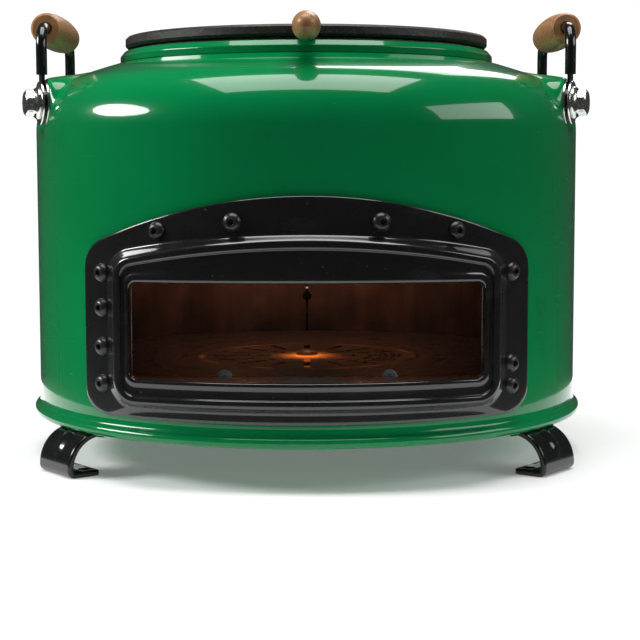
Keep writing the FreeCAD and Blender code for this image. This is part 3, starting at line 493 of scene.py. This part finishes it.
def cast_iron():
    """Black cast iron: sand-cast grain, seasoned dark with rubbed high spots and faint rust."""
    s = Shader("cast_iron", metallic=0.35, specular_ior_level=0.5)
    grain = s.noise(650.0, 5.0)
    rubbed = s.between(grain, 0.52, 0.70)
    tone = s.blend(rubbed, (0.020, 0.0195, 0.019), (0.062, 0.060, 0.058))
    rust = s.between(s.noise(55.0, 6.0), 0.64, 0.78)
    s.colour(s.blend(s.math("MULTIPLY", rust, 0.4), tone, (0.085, 0.038, 0.018)))
    s.rough(s.between(s.noise(120.0, 4.0), 0.3, 0.7, 0.40, 0.58))
    s.bump(grain, 0.05)
    s.bump(s.voronoi(520.0), 0.02)
    return s.material


def hearth_iron():
    """The hearth and grate: dark, oily, with turned rings, and an emitted orange glow that is painted light: a
    painted hot spot, a broken halo of painted fire reflection along the rings, and a painted glow round the
    grate's rim.
    """
    s = Shader("hearth_iron", metallic=0.2, specular_ior_level=0.45)
    angle, height, radius = s.cylinder()
    turning = s.vector(s.math("MULTIPLY", radius, 420.0), s.math("MULTIPLY", angle, 0.7), 0.0)
    rings = s.noise(1.0, 4.0, vector=turning)
    patch = s.between(s.noise(30.0, 5.0), 0.35, 0.7)
    tone = s.blend(rings, (0.020, 0.010, 0.006), (0.062, 0.031, 0.019))
    s.colour(s.blend(s.math("MULTIPLY", patch, 0.5), tone, (0.013, 0.008, 0.006)))
    s.rough(s.math("ADD", s.between(rings, 0.3, 0.7, 0.20, 0.34), s.math("MULTIPLY", patch, 0.12)))
    s.bump(rings, 0.05)
    # From here, reach is millimetres from the axis, and the emission is painted light: a painted hot spot, a
    # broken painted halo and a painted glow at the grate's rim.
    reach = s.between(radius, 0.0, 0.1, 0.0, 100.0)
    painted_hot_spot = s.between(reach, 4.0, 28.0, 1.0, 0.0)
    painted_hot_spot = s.math("MULTIPLY", painted_hot_spot, s.math("MULTIPLY", painted_hot_spot, painted_hot_spot))
    broken = s.between(s.noise(45.0, 3.0), 0.42, 0.66)
    painted_halo = s.math("MULTIPLY", s.between(reach, 15.0, 90.0, 1.0, 0.0), s.between(rings, 0.45, 0.66))
    # ring: a painted glow round the grate's rim, broken up by noise
    ring = s.between(s.math("ABSOLUTE", s.math("SUBTRACT", reach, GRATE_R), 0.0), 0.3, 2.6, 1.0, 0.0)
    ring = s.math("MULTIPLY", ring, broken)
    # heat: the painted glow in all, the painted hot spot, halo and rim glow added up, dimmed to a twentieth
    # above the hearth's face
    heat = s.math("ADD", s.math("MULTIPLY", painted_hot_spot, 1.2), s.math("MULTIPLY", painted_halo, 0.045))
    heat = s.math("ADD", heat, s.math("MULTIPLY", ring, 0.14))
    heat = s.math("MULTIPLY", heat, s.between(height, 0.0520, 0.0526, 1.0, 0.05))
    s.surface.inputs["Emission Color"].default_value = (1.0, 0.22, 0.03, 1.0)
    s.link(heat, s.surface.inputs["Emission Strength"])
    return s.material


def turned_wood():
    """Oiled beech, turned along Y: growth bands, darker patches and pores."""
    s = Shader("turned_wood", specular_ior_level=0.4, coat_weight=0.25, coat_roughness=0.25)
    warp = s.noise(30.0, 3.0, (1.0, 0.12, 1.0))
    bands = s.noise(420.0, 2.0, (1.0, 0.03, 0.35))
    tone = s.blend(s.between(bands, 0.3, 0.7), (0.235, 0.105, 0.040), (0.430, 0.230, 0.100))
    tone = s.blend(s.between(warp, 0.35, 0.7), tone, (0.33, 0.155, 0.060))
    pores = s.between(s.noise(1500.0, 2.0, (1.0, 0.05, 1.0)), 0.60, 0.68)
    s.colour(s.blend(s.math("MULTIPLY", pores, 0.7), tone, (0.10, 0.042, 0.018)))
    s.rough(s.math("ADD", s.between(warp, 0.3, 0.7, 0.36, 0.46), s.math("MULTIPLY", pores, 0.2)))
    s.bump(pores, -0.03)
    s.bump(bands, 0.02)
    return s.material


def fibre_tape():
    """Woven glass fibre, greyed by smoke."""
    s = Shader("fibre_tape", roughness=0.9, sheen_weight=0.3)
    weave = s.add("ShaderNodeTexWave", wave_type="BANDS", bands_direction="DIAGONAL")
    weave.inputs["Scale"].default_value = 260.0
    weave.inputs["Distortion"].default_value = 2.0
    s.link(s.place, weave.inputs["Vector"])
    tone = s.blend(weave.outputs["Fac"], (0.26, 0.25, 0.23), (0.50, 0.48, 0.44))
    s.colour(s.blend(s.between(s.noise(70.0, 5.0), 0.4, 0.7), tone, (0.16, 0.14, 0.12)))
    s.bump(weave.outputs["Fac"], 0.25)
    return s.material


def clip_sheet():
    """Galvanised sheet gone dull: pale grey-green bloom over the spangle."""
    s = Shader("clip_sheet", metallic=0.25, specular_ior_level=0.4)
    spangle = s.between(s.voronoi(420.0), 0.2, 0.8)
    tone = s.blend(spangle, (0.20, 0.24, 0.235), (0.33, 0.38, 0.37))
    s.colour(s.blend(s.between(s.noise(260.0, 4.0), 0.5, 0.7), tone, (0.11, 0.12, 0.10)))
    s.rough(s.between(s.noise(300.0, 3.0), 0.3, 0.7, 0.45, 0.62))
    s.bump(s.noise(800.0, 3.0), 0.015)
    return s.material


def stove_glass():
    """Clear glass ceramic with a light smoke film and wiping streaks."""
    s = Shader("stove_glass", transmission_weight=1.0, ior=1.25)
    film = s.between(s.noise(24.0, 5.0, (1.0, 1.0, 0.5)), 0.45, 0.75)
    s.colour(s.blend(film, (0.97, 0.96, 0.94), (0.86, 0.82, 0.77)))
    s.rough(s.between(s.noise(55.0, 5.0, (1.0, 1.0, 0.3)), 0.5, 0.8, 0.0, 0.06))
    return s.material


MATERIALS = {make.__name__: make() for make in (
    green_enamel, black_enamel, black_gloss, black_screws, zinc, plain_sheet, flue_steel, heated_steel,
    cast_iron, turned_wood, fibre_tape, stove_glass)}
HEARTH = hearth_iron()
CLIP = clip_sheet()
SLOTS = {part["node"]: part["material_slot"] for part in frame["record"]["subparts"]}
BODIES = {node: body for body, nodes in frame["record"]["behaviour"]["bodies"].items() for node in nodes}


def finish_node(node):
    """A CAD node that stays keeps its mesh and takes the material of its slot."""
    mesh = frame["nodes"][node].data
    mesh.materials.clear()
    mesh.materials.append(MATERIALS[SLOTS[node]])


def stand_for(piece, *nodes, material=None):
    """A new piece takes the body of the nodes it stands for, and the material of their slot."""
    slot = SLOTS[nodes[0]]
    return finish_piece(piece, BODIES[nodes[0]], slot, material or MATERIALS[slot], *nodes)


# ---------------------------------------------------------------- drum and pan

def drum_profile():
    """The outer surface as (radius, z), from the pan up to the mouth."""
    knuckle_x = DRUM_R - KNUCKLE_R
    lean = math.radians(KNUCKLE_DEG)
    crown_r = KNUCKLE_R + knuckle_x / math.cos(lean)
    crown_z = SHOULDER_Z - knuckle_x * math.tan(lean)
    wall = [pan_low.z + 2.4, DRAWER_LOW, 38.0, DRAWER_HIGH, WINDOW_LOW, 62, 74, 86, 98, WINDOW_HIGH,
            122, 132, 142, 152, 162, 170, 176, 179]
    profile = [(DRUM_R, z) for z in wall]
    profile += arc(knuckle_x, SHOULDER_Z, KNUCKLE_R, 0, KNUCKLE_DEG, 70)
    mouth_deg = math.degrees(math.acos(MOUTH_R / crown_r))
    profile += arc(0, crown_z, crown_r, KNUCKLE_DEG, mouth_deg, 12)[1:]
    return profile


def boss_azimuths():
    return [math.atan2(c.x, -c.y) for c in solid_centres("handle_bolts")]


def drum_azimuths(bosses):
    """Azimuths of the shell's columns, in radians: fine across the bosses, and on the cut edges."""
    window = math.asin(WINDOW_HALF / DRUM_R)
    drawer = math.asin(DRAWER_HALF / DRUM_R)
    marks = [-window, window, math.pi - drawer, drawer - math.pi]
    columns = [math.radians(COLUMN_DEG * i) for i in range(-100, 100)]
    columns = [a for a in columns if all(abs(a - m) > math.radians(0.5) for m in marks)]
    columns = [a for a in columns if all(abs(a - b) > math.radians(BOSS_SPAN_DEG) for b in bosses)]
    for boss in bosses:
        columns += [boss + math.radians(BOSS_COLUMN_DEG * i) for i in range(-30, 31)]
    return sorted(columns + marks)


def pressed(point, bosses, bolt_z):
    """Pull a point of the drum onto the flat pad of the boss near it."""
    for boss in bosses:
        ahead = Vector((math.sin(boss), -math.cos(boss), 0))
        side = Vector((math.cos(boss), math.sin(boss), 0))
        depth = point.dot(ahead)
        off = math.hypot(point.dot(side), point.z - bolt_z)
        if depth > 0 and off < BOSS_EDGE_R:
            share = min(1.0, (BOSS_EDGE_R - off) / (BOSS_EDGE_R - BOSS_FLAT_R))
            share = share * share * (3 - 2 * share)
            point = point + ahead * (BOSS_FACE - depth) * share
    return point


def is_cut_out(centre):
    """Whether a face lies in the window, drawer or flue opening of the shell."""
    if centre.y < 0:
        return abs(centre.x) < WINDOW_HALF and WINDOW_LOW < centre.z < WINDOW_HIGH
    if abs(centre.x) < DRAWER_HALF and DRAWER_LOW < centre.z < DRAWER_HIGH:
        return True
    return math.hypot(centre.x, centre.z - (flue_low.z + flue_high.z) / 2) < FLUE_HOLE_R


def body_shell():
    """The enamelled drum: straight wall, rounded shoulder, dome and four pressed bosses."""
    bosses = boss_azimuths()
    bolt_z = solid_centres("handle_bolts")[0].z
    columns = drum_azimuths(bosses)
    loops = []
    for radius, z in drum_profile():
        points = [Vector((radius * math.sin(a), -radius * math.cos(a), z)) for a in columns]
        loops.append([pressed(point, bosses, bolt_z) for point in points])
    verts, faces = loft(loops)
    faces = [f for f in faces if not is_cut_out(sum((verts[i] for i in f), Vector()) / 4)]
    piece = add_mesh("drum_shell", [tuple(v) for v in verts], faces, 60)
    wall = piece.modifiers.new("sheet", "SOLIDIFY")
    wall.thickness = SHEET * MM
    wall.offset = -1
    stand_for(piece, "body_shell")


def base_pan():
    """The bottom pan: a flat floor, a rolled rim and a fillet up to the drum's wall."""
    middle_z = (pan_low.z + pan_high.z) / 2
    profile = [(radius, PAN_FLOOR) for radius in (0, 60, 120, 149)]
    profile += [(151.5, 23.9), (153.6, 23.2)]
    profile += arc(pan_high.x - ROLL_R, middle_z, ROLL_R, -98, 52, 18)
    profile += [(156.55, 28.75), (155.85, 29.3), (155.4, 30.1), (155.12, 31.2), (155.0, 32.6)]
    profile += [(154.3, 32.6), (154.0, 26.5)]
    profile += [(radius, PAN_TOP) for radius in (150, 120, 60, 0)]
    stand_for(add_mesh("pan_with_rolled_rim", *lathe(profile, 360), 60), "base_pan")


# ---------------------------------------------------------------- window frame

def arched_loop(half, low, peak, arch_r, low_corner, top_corner):
    """A rounded rectangle under a shallow arch, as (x, z) points with the same count each time."""
    centre_z = peak - arch_r
    corner_x = half - top_corner
    corner_z = centre_z + math.sqrt((arch_r - top_corner) ** 2 - corner_x ** 2)
    lean = math.degrees(math.atan2(corner_z - centre_z, corner_x))
    right = [(x / 12 * (half - low_corner), low) for x in range(12)]
    right += arc(half - low_corner, low + low_corner, low_corner, -90, 0, 10)
    side = [(half, low + low_corner + (corner_z - low - low_corner) * i / 10) for i in range(1, 10)]
    right += side
    right += arc(corner_x, corner_z, top_corner, 0, lean, 12)
    right += arc(0, centre_z, arch_r, lean, 90, 18)[1:]
    left = [(-x, z) for x, z in reversed(right[1:-1])]
    return right + left


def flange_y(x, radius):
    """Y on a cylinder about the drum's axis."""
    return -math.sqrt(radius ** 2 - x ** 2)


def panel_y(x, rise):
    """Y on the frame's panel, raised towards the front."""
    return PANEL_CENTRE_Y - math.sqrt((PANEL_R + rise) ** 2 - x ** 2)


def between(first, second, share, depth):
    """A loop part of the way between two outlines. depth gives its Y for an x."""
    loop = []
    for (xa, za), (xb, zb) in zip(first, second):
        x = xa + (xb - xa) * share
        loop.append((x, depth(x), za + (zb - za) * share))
    return loop


def panel_loops(first, second, section):
    """Loops on the panel, from a section of (share, rise)."""
    return [between(first, second, share, lambda x: panel_y(x, rise)) for share, rise in section]


def frame_front(outer, crease, crest, groove, roll, mouth):
    """The pressing's front, from the flange's edge over the bead and the panel into the mouth."""
    loops = []
    for share, radius in ((0, SEAT_R), (0, 156.3), (0.012, 156.75), (0.035, 156.95), (0.08, FLANGE_R),
                          (0.3, FLANGE_R), (0.6, FLANGE_R), (0.85, FLANGE_R), (0.945, FLANGE_R)):
        loops.append(between(outer, crease, share, lambda x: flange_y(x, radius)))
    for share, lift in ((0.0, 0.03), (0.14, 0.10), (0.28, 0.25), (0.44, 0.50), (0.60, 0.74),
                        (0.75, 0.89), (0.88, 0.97), (1.0, 1.0)):
        loops.append(between(crease, crest, share, lambda x: (
            flange_y(x, FLANGE_R) * (1 - lift) + panel_y(x, BEAD_RISE) * lift)))
    loops += panel_loops(crest, groove, ((0.25, 2.3), (0.6, 2.2), (0.86, 2.0), (0.97, 1.35), (1.0, 1.0)))
    loops += panel_loops(groove, roll, ((0.03, 0.87), (0.10, 0.80), (0.3, 0.72), (0.5, 0.66), (0.7, 0.66),
                                        (0.85, 0.74), (0.94, 0.88), (1.0, 1.0)))
    loops += panel_loops(roll, mouth, ((0.2, 1.12), (0.5, 1.12), (0.78, 0.85), (0.92, 0.15), (0.98, -0.8),
                                       (1.0, MOUTH_DROP)))
    return loops


def frame_back(outer, crease, crest, groove, mouth, back):
    """The deep return behind the mouth, and the pressing's rear face out to the flange."""
    loops = []
    for share in (0.25, 0.6, 1.0):
        loops.append(between(mouth, mouth, 0, lambda x: (
            panel_y(x, MOUTH_DROP) * (1 - share) + RETURN_BACK_Y * share)))
    loops.append(between(back, back, 0, lambda x: RETURN_BACK_Y))
    loops.append(between(back, back, 0, lambda x: panel_y(x, -PANEL_SHEET - 0.4)))
    loops.append(between(groove, crest, 0.4, lambda x: panel_y(x, -PANEL_SHEET)))
    loops.append(between(crest, crease, 0.4, lambda x: (flange_y(x, SEAT_R) + panel_y(x, 0.4)) / 2))
    loops.append(between(crease, outer, 0.12, lambda x: flange_y(x, SEAT_R)))
    return loops


def window_frame():
    """One sheet pressing: a flange on the drum, a raised bead, a hollow panel and a deep return."""
    outer = arched_loop(115.6, 35, 148.1, 258, 12, 17)
    crease = arched_loop(101, 40.6, 129.5, 462, 14, 13)
    crest = arched_loop(97, 44.4, 125.5, 458, 10, 9.5)
    groove = arched_loop(93.5, 47.6, 122.0, 454, 7, 6.6)
    roll = arched_loop(91.8, 53.6, 109.6, 4000, 5.6, 5.8)
    mouth = arched_loop(89, 56.4, 104.8, 9000, 3.6, 3.6)
    back = arched_loop(90.4, 54.6, 106.2, 9000, 5, 5)
    loops = frame_front(outer, crease, crest, groove, roll, mouth)
    loops += frame_back(outer, crease, crest, groove, mouth, back)
    piece = add_mesh("window_frame_pressing", *loft(loops, ring=True), 70)
    smooth = piece.modifiers.new("smooth", "SUBSURF")
    smooth.levels = 1
    smooth.render_levels = 1
    stand_for(piece, "window_frame")


# ---------------------------------------------------------------- fasteners

def hexagon_reach(across_flats, angle, corner=None):
    """The distance from a hexagon's centre to its side, at an angle, its corners cut at a radius."""
    turned = (angle + math.pi / 6) % (math.pi / 3) - math.pi / 6
    reach = across_flats / 2 / math.cos(turned)
    return min(reach, corner) if corner else reach


def hexagon_loop(across_flats, z, count, corner=None, cone=None):
    """A hexagon's points. A cone of (radius, slope) lowers them outside its radius."""
    loop = []
    for i in range(count):
        angle = math.tau * i / count
        reach = hexagon_reach(across_flats, angle, corner)
        drop = max(0.0, reach - cone[0]) * cone[1] if cone else 0.0
        loop.append((reach * math.cos(angle), reach * math.sin(angle), z - drop))
    return loop


def circles(profile, count):
    """Circles for a profile of (radius, z)."""
    return [circle(radius, z, count) for radius, z in profile]


def button_screw():
    """An M5 button head and its shank, along +Z from its seat at 0."""
    count = 48
    loops = [circle(0, 0.75, count)]
    loops += [hexagon_loop(across, z, count)
              for across, z in ((2.9, 0.95), (3.0, 1.2), (3.0, 2.42), (3.2, 2.58))]
    loops += circles(((1.98, 2.66), (2.2, 2.68), (2.6, 2.56), (3.05, 2.34), (3.5, 2.03), (3.95, 1.62),
                      (4.3, 1.17), (4.55, 0.74), (4.68, 0.42), (4.75, 0.2), (4.72, 0.05), (4.6, 0.0)), count)
    loops += circles(((2.5, 0), (2.5, -7.6), (2.1, -8.0), (0, -8.0)), count)
    return loft(loops)


def flange_bolt():
    """An M8 hexagon flange bolt along +Z from its flange's seat at 0."""
    count = 96
    cone = (5.75, 0.45)
    loops = circles(((0, 7.75), (4.3, 7.75), (4.9, 7.95), (5.7, 8.0)), count)
    loops += [hexagon_loop(across, z, count, corner, cone)
              for across, z, corner in ((12.4, 7.85, 6.75), (12.85, 7.70, 7.15), (13.0, 7.35, 7.3))]
    loops += [hexagon_loop(across, z, count, corner)
              for across, z, corner in ((13.0, 5.4, 7.3), (13.0, 3.4, 7.3), (13.3, 2.95, 7.45))]
    loops += circles(((7.75, 2.5), (8.3, 1.85), (8.65, 1.35), (8.88, 0.95), (8.95, 0.6), (8.93, 0.25),
                      (8.75, 0.02), (4.2, 0.0)), count)
    shank = [(4.0, -0.3)]
    for turn in range(12):
        shank += [(4.0, -2.2 - 1.25 * turn), (3.55, -2.8 - 1.25 * turn)]
    loops += circles(shank + [(3.3, -17.6), (0, -17.6)], count)
    return loft(loops)


def on_the_wall(name, node, part, seat):
    """Copies of a fastener where a node has solids, on the drum's wall, each head turned its own way."""
    copies = []
    for centre in solid_centres(node):
        azimuth = math.atan2(centre.x, -centre.y)
        turn = Matrix.Rotation(azimuth * HEAD_TURN, 4, "Z")
        copies.append(moved(part, radial(azimuth, seat, centre.z) @ turn))
    stand_for(add_mesh(name, *join(*copies), 38), node)


def washer():
    """A punched washer: rounded over on one face, nearly square on the other, along +Z from 0 to 1.2."""
    profile = [(4.2, 0.12), (4.2, 0.9), (4.45, 1.2), (11.4, 1.2), (11.8, 1.08), (12.0, 0.75), (12.0, 0.15),
               (11.85, 0.0), (4.35, 0.0)]
    return loft(circles(profile, 96), ring=True)


def handle_washers():
    bolt_z = solid_centres("handle_bolts")[0].z
    copies = []
    for azimuth in boss_azimuths():
        copies += [moved(washer(), radial(azimuth, seat, bolt_z)) for seat in WASHER_SEATS]
    stand_for(add_mesh("punched_washers", *join(*copies), 38), "handle_washers")


def capped(loops):
    """A loft with a face over its first and its last loop."""
    verts, faces = loft(loops)
    count = len(loops[0])
    faces.append(tuple(range(count)))
    faces.append(tuple(range(len(verts) - count, len(verts))))
    return verts, faces


def clip_front(x, low, tip):
    """A half-round tab before the pane, domed towards the front."""
    dome = [math.radians(180 - 10 * i) for i in range(1, 18)]
    outline = [(-CLIP_HALF, low.z), (-CLIP_HALF, tip)]
    outline += [(CLIP_HALF * math.cos(a), tip + CLIP_HALF * math.sin(a)) for a in dome]
    outline += [(CLIP_HALF, tip), (CLIP_HALF, low.z)]
    middle = (low.z + tip) / 2 + 1
    loops = []
    for inset, y in ((0, -127.0), (0, -127.4), (0.12, -127.75), (0.4, -128.0), (0.9, -128.14), (2.2, low.y)):
        keep = 1 - inset / CLIP_HALF
        loops.append([(x + across * keep, y, middle + (z - middle) * keep) for across, z in outline])
    return capped(loops)


def clip_fold(x, low, high, tip):
    """The strip that runs back under the pane and stands up low behind it."""
    fold = [(CLIP_BEND_Y, low.z), (high.y, low.z), (high.y, tip - 1.6), (-121.95, tip - 1.3),
            (-122.85, tip - 1.3), (-122.98, tip - 1.5), (-123.0, CLIP_FLOOR_Z), (CLIP_BEND_Y, CLIP_FLOOR_Z)]
    sides = (-CLIP_HALF, -CLIP_HALF + 0.3, CLIP_HALF - 0.3, CLIP_HALF)
    return capped([[(x + side, y, z) for y, z in fold] for side in sides])


def glass_clips():
    """Two folded clips: a domed half-round tab before the pane and a low one behind it."""
    low, high = corners("glass_clips")
    tip = high.z - CLIP_HALF
    parts = []
    for x in (low.x + CLIP_HALF, high.x - CLIP_HALF):
        parts += [clip_front(x, low, tip), clip_fold(x, low, high, tip)]
    stand_for(add_mesh("folded_clips", *join(*parts), 50), "glass_clips", material=CLIP)


# ---------------------------------------------------------------- feet

def foot_path():
    """The strap's outer face as (radius, z, normal angle), from under the pan to the sole's tip."""
    bend_x, bend_z, bend_r = STRAP_BEND
    sole_x = SOLE_BEND[0]
    path = [(STRAP_START + (bend_x - STRAP_START) * i / 6, bend_z + bend_r, 90.0) for i in range(6)]
    for (x, z, radius), start, end, steps in ((STRAP_BEND, 90, 0, 30), (SOLE_BEND, 0, -90, 10)):
        for i in range(steps + 1):
            angle = start + (end - start) * i / steps
            turn = math.radians(angle)
            path.append((x + radius * math.cos(turn), z + radius * math.sin(turn), angle))
    path += [(sole_x - SOLE_LENGTH * i / 6, 0.0, -90.0) for i in range(1, 7)]
    return path


def foot_rib(across, height):
    """How far the pressed rib stands out, for a place across the strap and a height above the floor."""
    along = min(1.0, max(0.0, (height - 9.6) / 6.0))
    reach = 4.6 * math.sqrt(max(0.0, 1 - (1 - along) ** 2)) + 0.01
    share = min(1.0, max(0.0, (reach - abs(across)) / 2.4))
    fade = min(1.0, max(0.0, (23.6 - height) / 1.2))
    return RIB_RISE * share * share * (3 - 2 * share) * min(1.0, along * 1.2) * fade


def foot_section(edge):
    """The strap's section as (across, inward) points, rounded at its edges, the outer face first."""
    turns = (math.radians(30), math.radians(60))
    rounding = [(edge * (1 - math.cos(a)), edge * (1 - math.sin(a))) for a in turns]
    outer = [(STRAP_HALF, edge)] + [(STRAP_HALF - side, deep) for side, deep in rounding]
    outer += [(STRAP_HALF * 0.94 * (1 - 2 * i / 28), 0.0) for i in range(29)]
    outer += [(side - STRAP_HALF, deep) for side, deep in reversed(rounding)]
    inner = [(-STRAP_HALF, edge), (-STRAP_HALF, STRAP - edge * 0.5), (edge * 0.5 - STRAP_HALF, STRAP)]
    inner += [(0.0, STRAP), (STRAP_HALF - edge * 0.5, STRAP), (STRAP_HALF, STRAP - edge * 0.5)]
    return outer + inner


def foot_strap():
    """One bent strap with its rib, along the front radius."""
    section = foot_section(1.1)
    path = foot_path()
    last = len(path) - 1
    loops = []
    for i, (reach, z, angle) in enumerate(path):
        out = Vector((0, -math.cos(math.radians(angle)), math.sin(math.radians(angle))))
        taper = 1.0 - 0.055 * (i == last)
        loop = []
        for across, inward in section:
            ribbed = 0 < angle < 90 and inward in (0.0, STRAP)
            lift = foot_rib(across, z) if ribbed else 0.0
            loop.append(tuple(Vector((across * taper, -reach, z)) + out * (lift - inward)))
        loops.append(loop)
    return capped(loops)


def drill(piece, places, radius, low, high):
    """Cut upright round holes through a piece."""
    cutters = join(*[moved(lathe([(0, low), (radius, low), (radius, high), (0, high)], 48),
                           Matrix.Translation((x, y, 0))) for x, y in places])
    cutter = add_mesh("cutter", *cutters)
    cut = piece.modifiers.new("holes", "BOOLEAN")
    cut.object = cutter
    cut.operation = "DIFFERENCE"
    cut.solver = "EXACT"
    shaped = bpy.data.meshes.new_from_object(piece.evaluated_get(bpy.context.evaluated_depsgraph_get()))
    piece.modifiers.remove(cut)
    piece.data = shaped
    bpy.data.objects.remove(cutter)


def feet():
    side, forward, radius = SOLE_HOLE
    for name in ("front_left", "front_right", "rear_left", "rear_right"):
        node = "foot_" + name
        low, high = corners(node)
        centre = (low + high) / 2
        turn = Matrix.Rotation(math.atan2(centre.x, -centre.y), 4, "Z")
        piece = add_mesh(node + "_strap", *moved(foot_strap(), turn), 50)
        holes = [turn @ Vector((across, forward, 0)) for across in (-side, side)]
        drill(piece, [(h.x, h.y) for h in holes], radius, -2, 6)
        piece.data.set_sharp_from_angle(angle=math.radians(50))
        stand_for(piece, node)


# ---------------------------------------------------------------- wooden grips

def grip_profile(half, waist, belly, groove_depth):
    """A turned grip's outer profile as (radius, z): rounded ends, a groove near each, a full belly."""
    profile = []
    steps = 40
    for i in range(steps + 1):
        t = i / steps
        z = -half + 2 * half * t
        end = min(1.0, min(t, 1 - t) / 0.045)
        body = waist + (belly - waist) * math.sin(math.pi * t) ** 0.8
        groove = groove_depth * math.exp(-((min(t, 1 - t) - 0.115) / 0.012) ** 2)
        profile.append((body * (0.86 + 0.14 * math.sqrt(1 - (1 - end) ** 2)) - groove, z))
    return profile


def handle_grips():
    bore = 3.06
    for name in ("left", "right"):
        node = "handle_grip_" + name
        low, high = corners(node)
        half = (high.y - low.y) / 2
        outer = grip_profile(half, 8.4, (high.x - low.x) / 2, 0.55)
        inner = [(bore, -half + 0.6), (bore + 0.6, -half)]
        profile = inner + outer + [(bore + 0.6, half), (bore, half - 0.6)]
        part = loft(circles(profile, 96), ring=True)
        stand_for(add_mesh(node + "_turned", *moved(part, along_y(*(low + high) / 2)), 40), node)


# ---------------------------------------------------------------- assembly of the looks

def all_pieces():
    body_shell()
    base_pan()
    window_frame()
    on_the_wall("button_head_screws", "frame_screws", button_screw(), FLANGE_R)
    on_the_wall("saddle_screws", "flue_screws", button_screw(), FLANGE_R)
    on_the_wall("hexagon_flange_bolts", "handle_bolts", flange_bolt(), BOLT_SEAT_R)
    handle_washers()
    glass_clips()
    feet()
    stand_for(softened("lid", 0.5), "lid")
    handle_grips()
    for node, width in (("lid_collar", 0.5), ("hinge_bracket", 0.7), ("hinge_pin", 0.4), ("drawer_front", 0.4),
                        ("air_slide", 0.35), ("drawer_knob", 0.4), ("damper_handle", 0.7),
                        ("flue_spigot", 0.3), ("flue_saddle", 0.5), ("handle_rod_left", 0.4),
                        ("handle_rod_right", 0.4), ("foot_bolts", 0.3), ("lid_grip", 0.4)):
        stand_for(softened(node, width), node)
    for node in ("hearth_plate", "grate", "grate_bolt"):
        stand_for(softened(node, 0.4), node, material=HEARTH)
    for node, piece in frame["nodes"].items():
        if not piece.hide_render:
            finish_node(node)


# ---------------------------------------------------------------- floor, light, camera

def stage_floor():
    """A pale round floor, white right up to its rim, so that it ends unseen in the white behind it."""
    mesh = bpy.data.meshes.new("floor")
    rim = circle(FLOOR_R, 0, 96)
    mesh.from_pydata(rim, [], [tuple(range(96))])
    floor = bpy.data.objects.new("floor", mesh)
    bpy.context.scene.collection.objects.link(floor)
    s = Shader("pale_floor", specular_ior_level=0.1)
    s.colour(s.blend(s.noise(3.0, 2.0), (0.86, 0.86, 0.86), (0.88, 0.88, 0.88)))
    s.rough(s.between(s.noise(5.0, 2.0), 0.0, 1.0, 0.75, 0.85))
    s.surface.inputs["Emission Color"].default_value = (1.0, 1.0, 1.0, 1.0)
    s.surface.inputs["Emission Strength"].default_value = FLOOR_GLOW
    mesh.materials.append(s.material)


def aim(thing, target):
    direction = Vector(target) - thing.location
    thing.rotation_euler = direction.to_track_quat("-Z", "Y").to_euler()


def softbox(name, place, target, size, power, colour=(1, 1, 1), shape="RECTANGLE"):
    """An area light of (width, height) at a place, turned to a target."""
    lamp = bpy.data.lights.new(name, "AREA")
    lamp.shape = shape
    lamp.size, lamp.size_y = size
    lamp.energy = power
    lamp.color = colour
    thing = bpy.data.objects.new(name, lamp)
    thing.location = place
    aim(thing, target)
    bpy.context.scene.collection.objects.link(thing)


def studio():
    """A white backdrop, a dim room that the stove reflects, and softboxes all round."""
    world = bpy.data.worlds.new("studio")
    bpy.context.scene.world = world
    world.use_nodes = True
    nodes = world.node_tree.nodes
    links = world.node_tree.links
    seen = nodes.new("ShaderNodeLightPath")
    strength = nodes.new("ShaderNodeMapRange")
    strength.inputs["To Min"].default_value = ROOM_GLOW
    strength.inputs["To Max"].default_value = BACKDROP_GLOW
    links.new(seen.outputs["Is Camera Ray"], strength.inputs["Value"])
    links.new(strength.outputs["Result"], nodes["Background"].inputs["Strength"])
    nodes["Background"].inputs["Color"].default_value = (1, 1, 1, 1)

    middle = (0, 0, 0.12)
    softbox("key_left", (-1.15, -0.15, 0.66), middle, (0.68, 0.32), 13, shape="ELLIPSE")
    softbox("fill_right", (1.05, -0.35, 0.62), middle, (0.8, 0.42), 4.5)
    softbox("overhead", (0, -0.15, 1.3), middle, (1.1, 0.78), 18)
    softbox("rear", (0.4, 1.3, 1.3), middle, (0.8, 0.8), 9)


def fire():
    """What is left of a fire: a dull warmth on the lining, and embers below the grate."""
    grate_top = corners("grate")[1].z
    softbox("warmth", (0, 0.06, 0.176), (0, 0.145, 0.10), (0.07, 0.04), 0.125, (1.0, 0.64, 0.46))
    softbox("embers", (0, 0, (grate_top - 9) * MM), (0, 0, 0.3), (0.08, 0.08), 0.004, (1.0, 0.28, 0.05))


def camera():
    lens = bpy.data.cameras.new("camera")
    lens.lens = 89.2
    lens.sensor_width = 36.0
    lens.clip_start = 0.01
    thing = bpy.data.objects.new("camera", lens)
    thing.location = (0, -0.930, 0.1613)
    thing.rotation_euler = (math.radians(84.54), math.radians(0.09), math.radians(-0.48))
    bpy.context.scene.collection.objects.link(thing)
    bpy.context.scene.camera = thing


all_pieces()
stage_floor()
studio()
fire()
camera()
bpy.context.scene.view_settings.view_transform = "Standard"
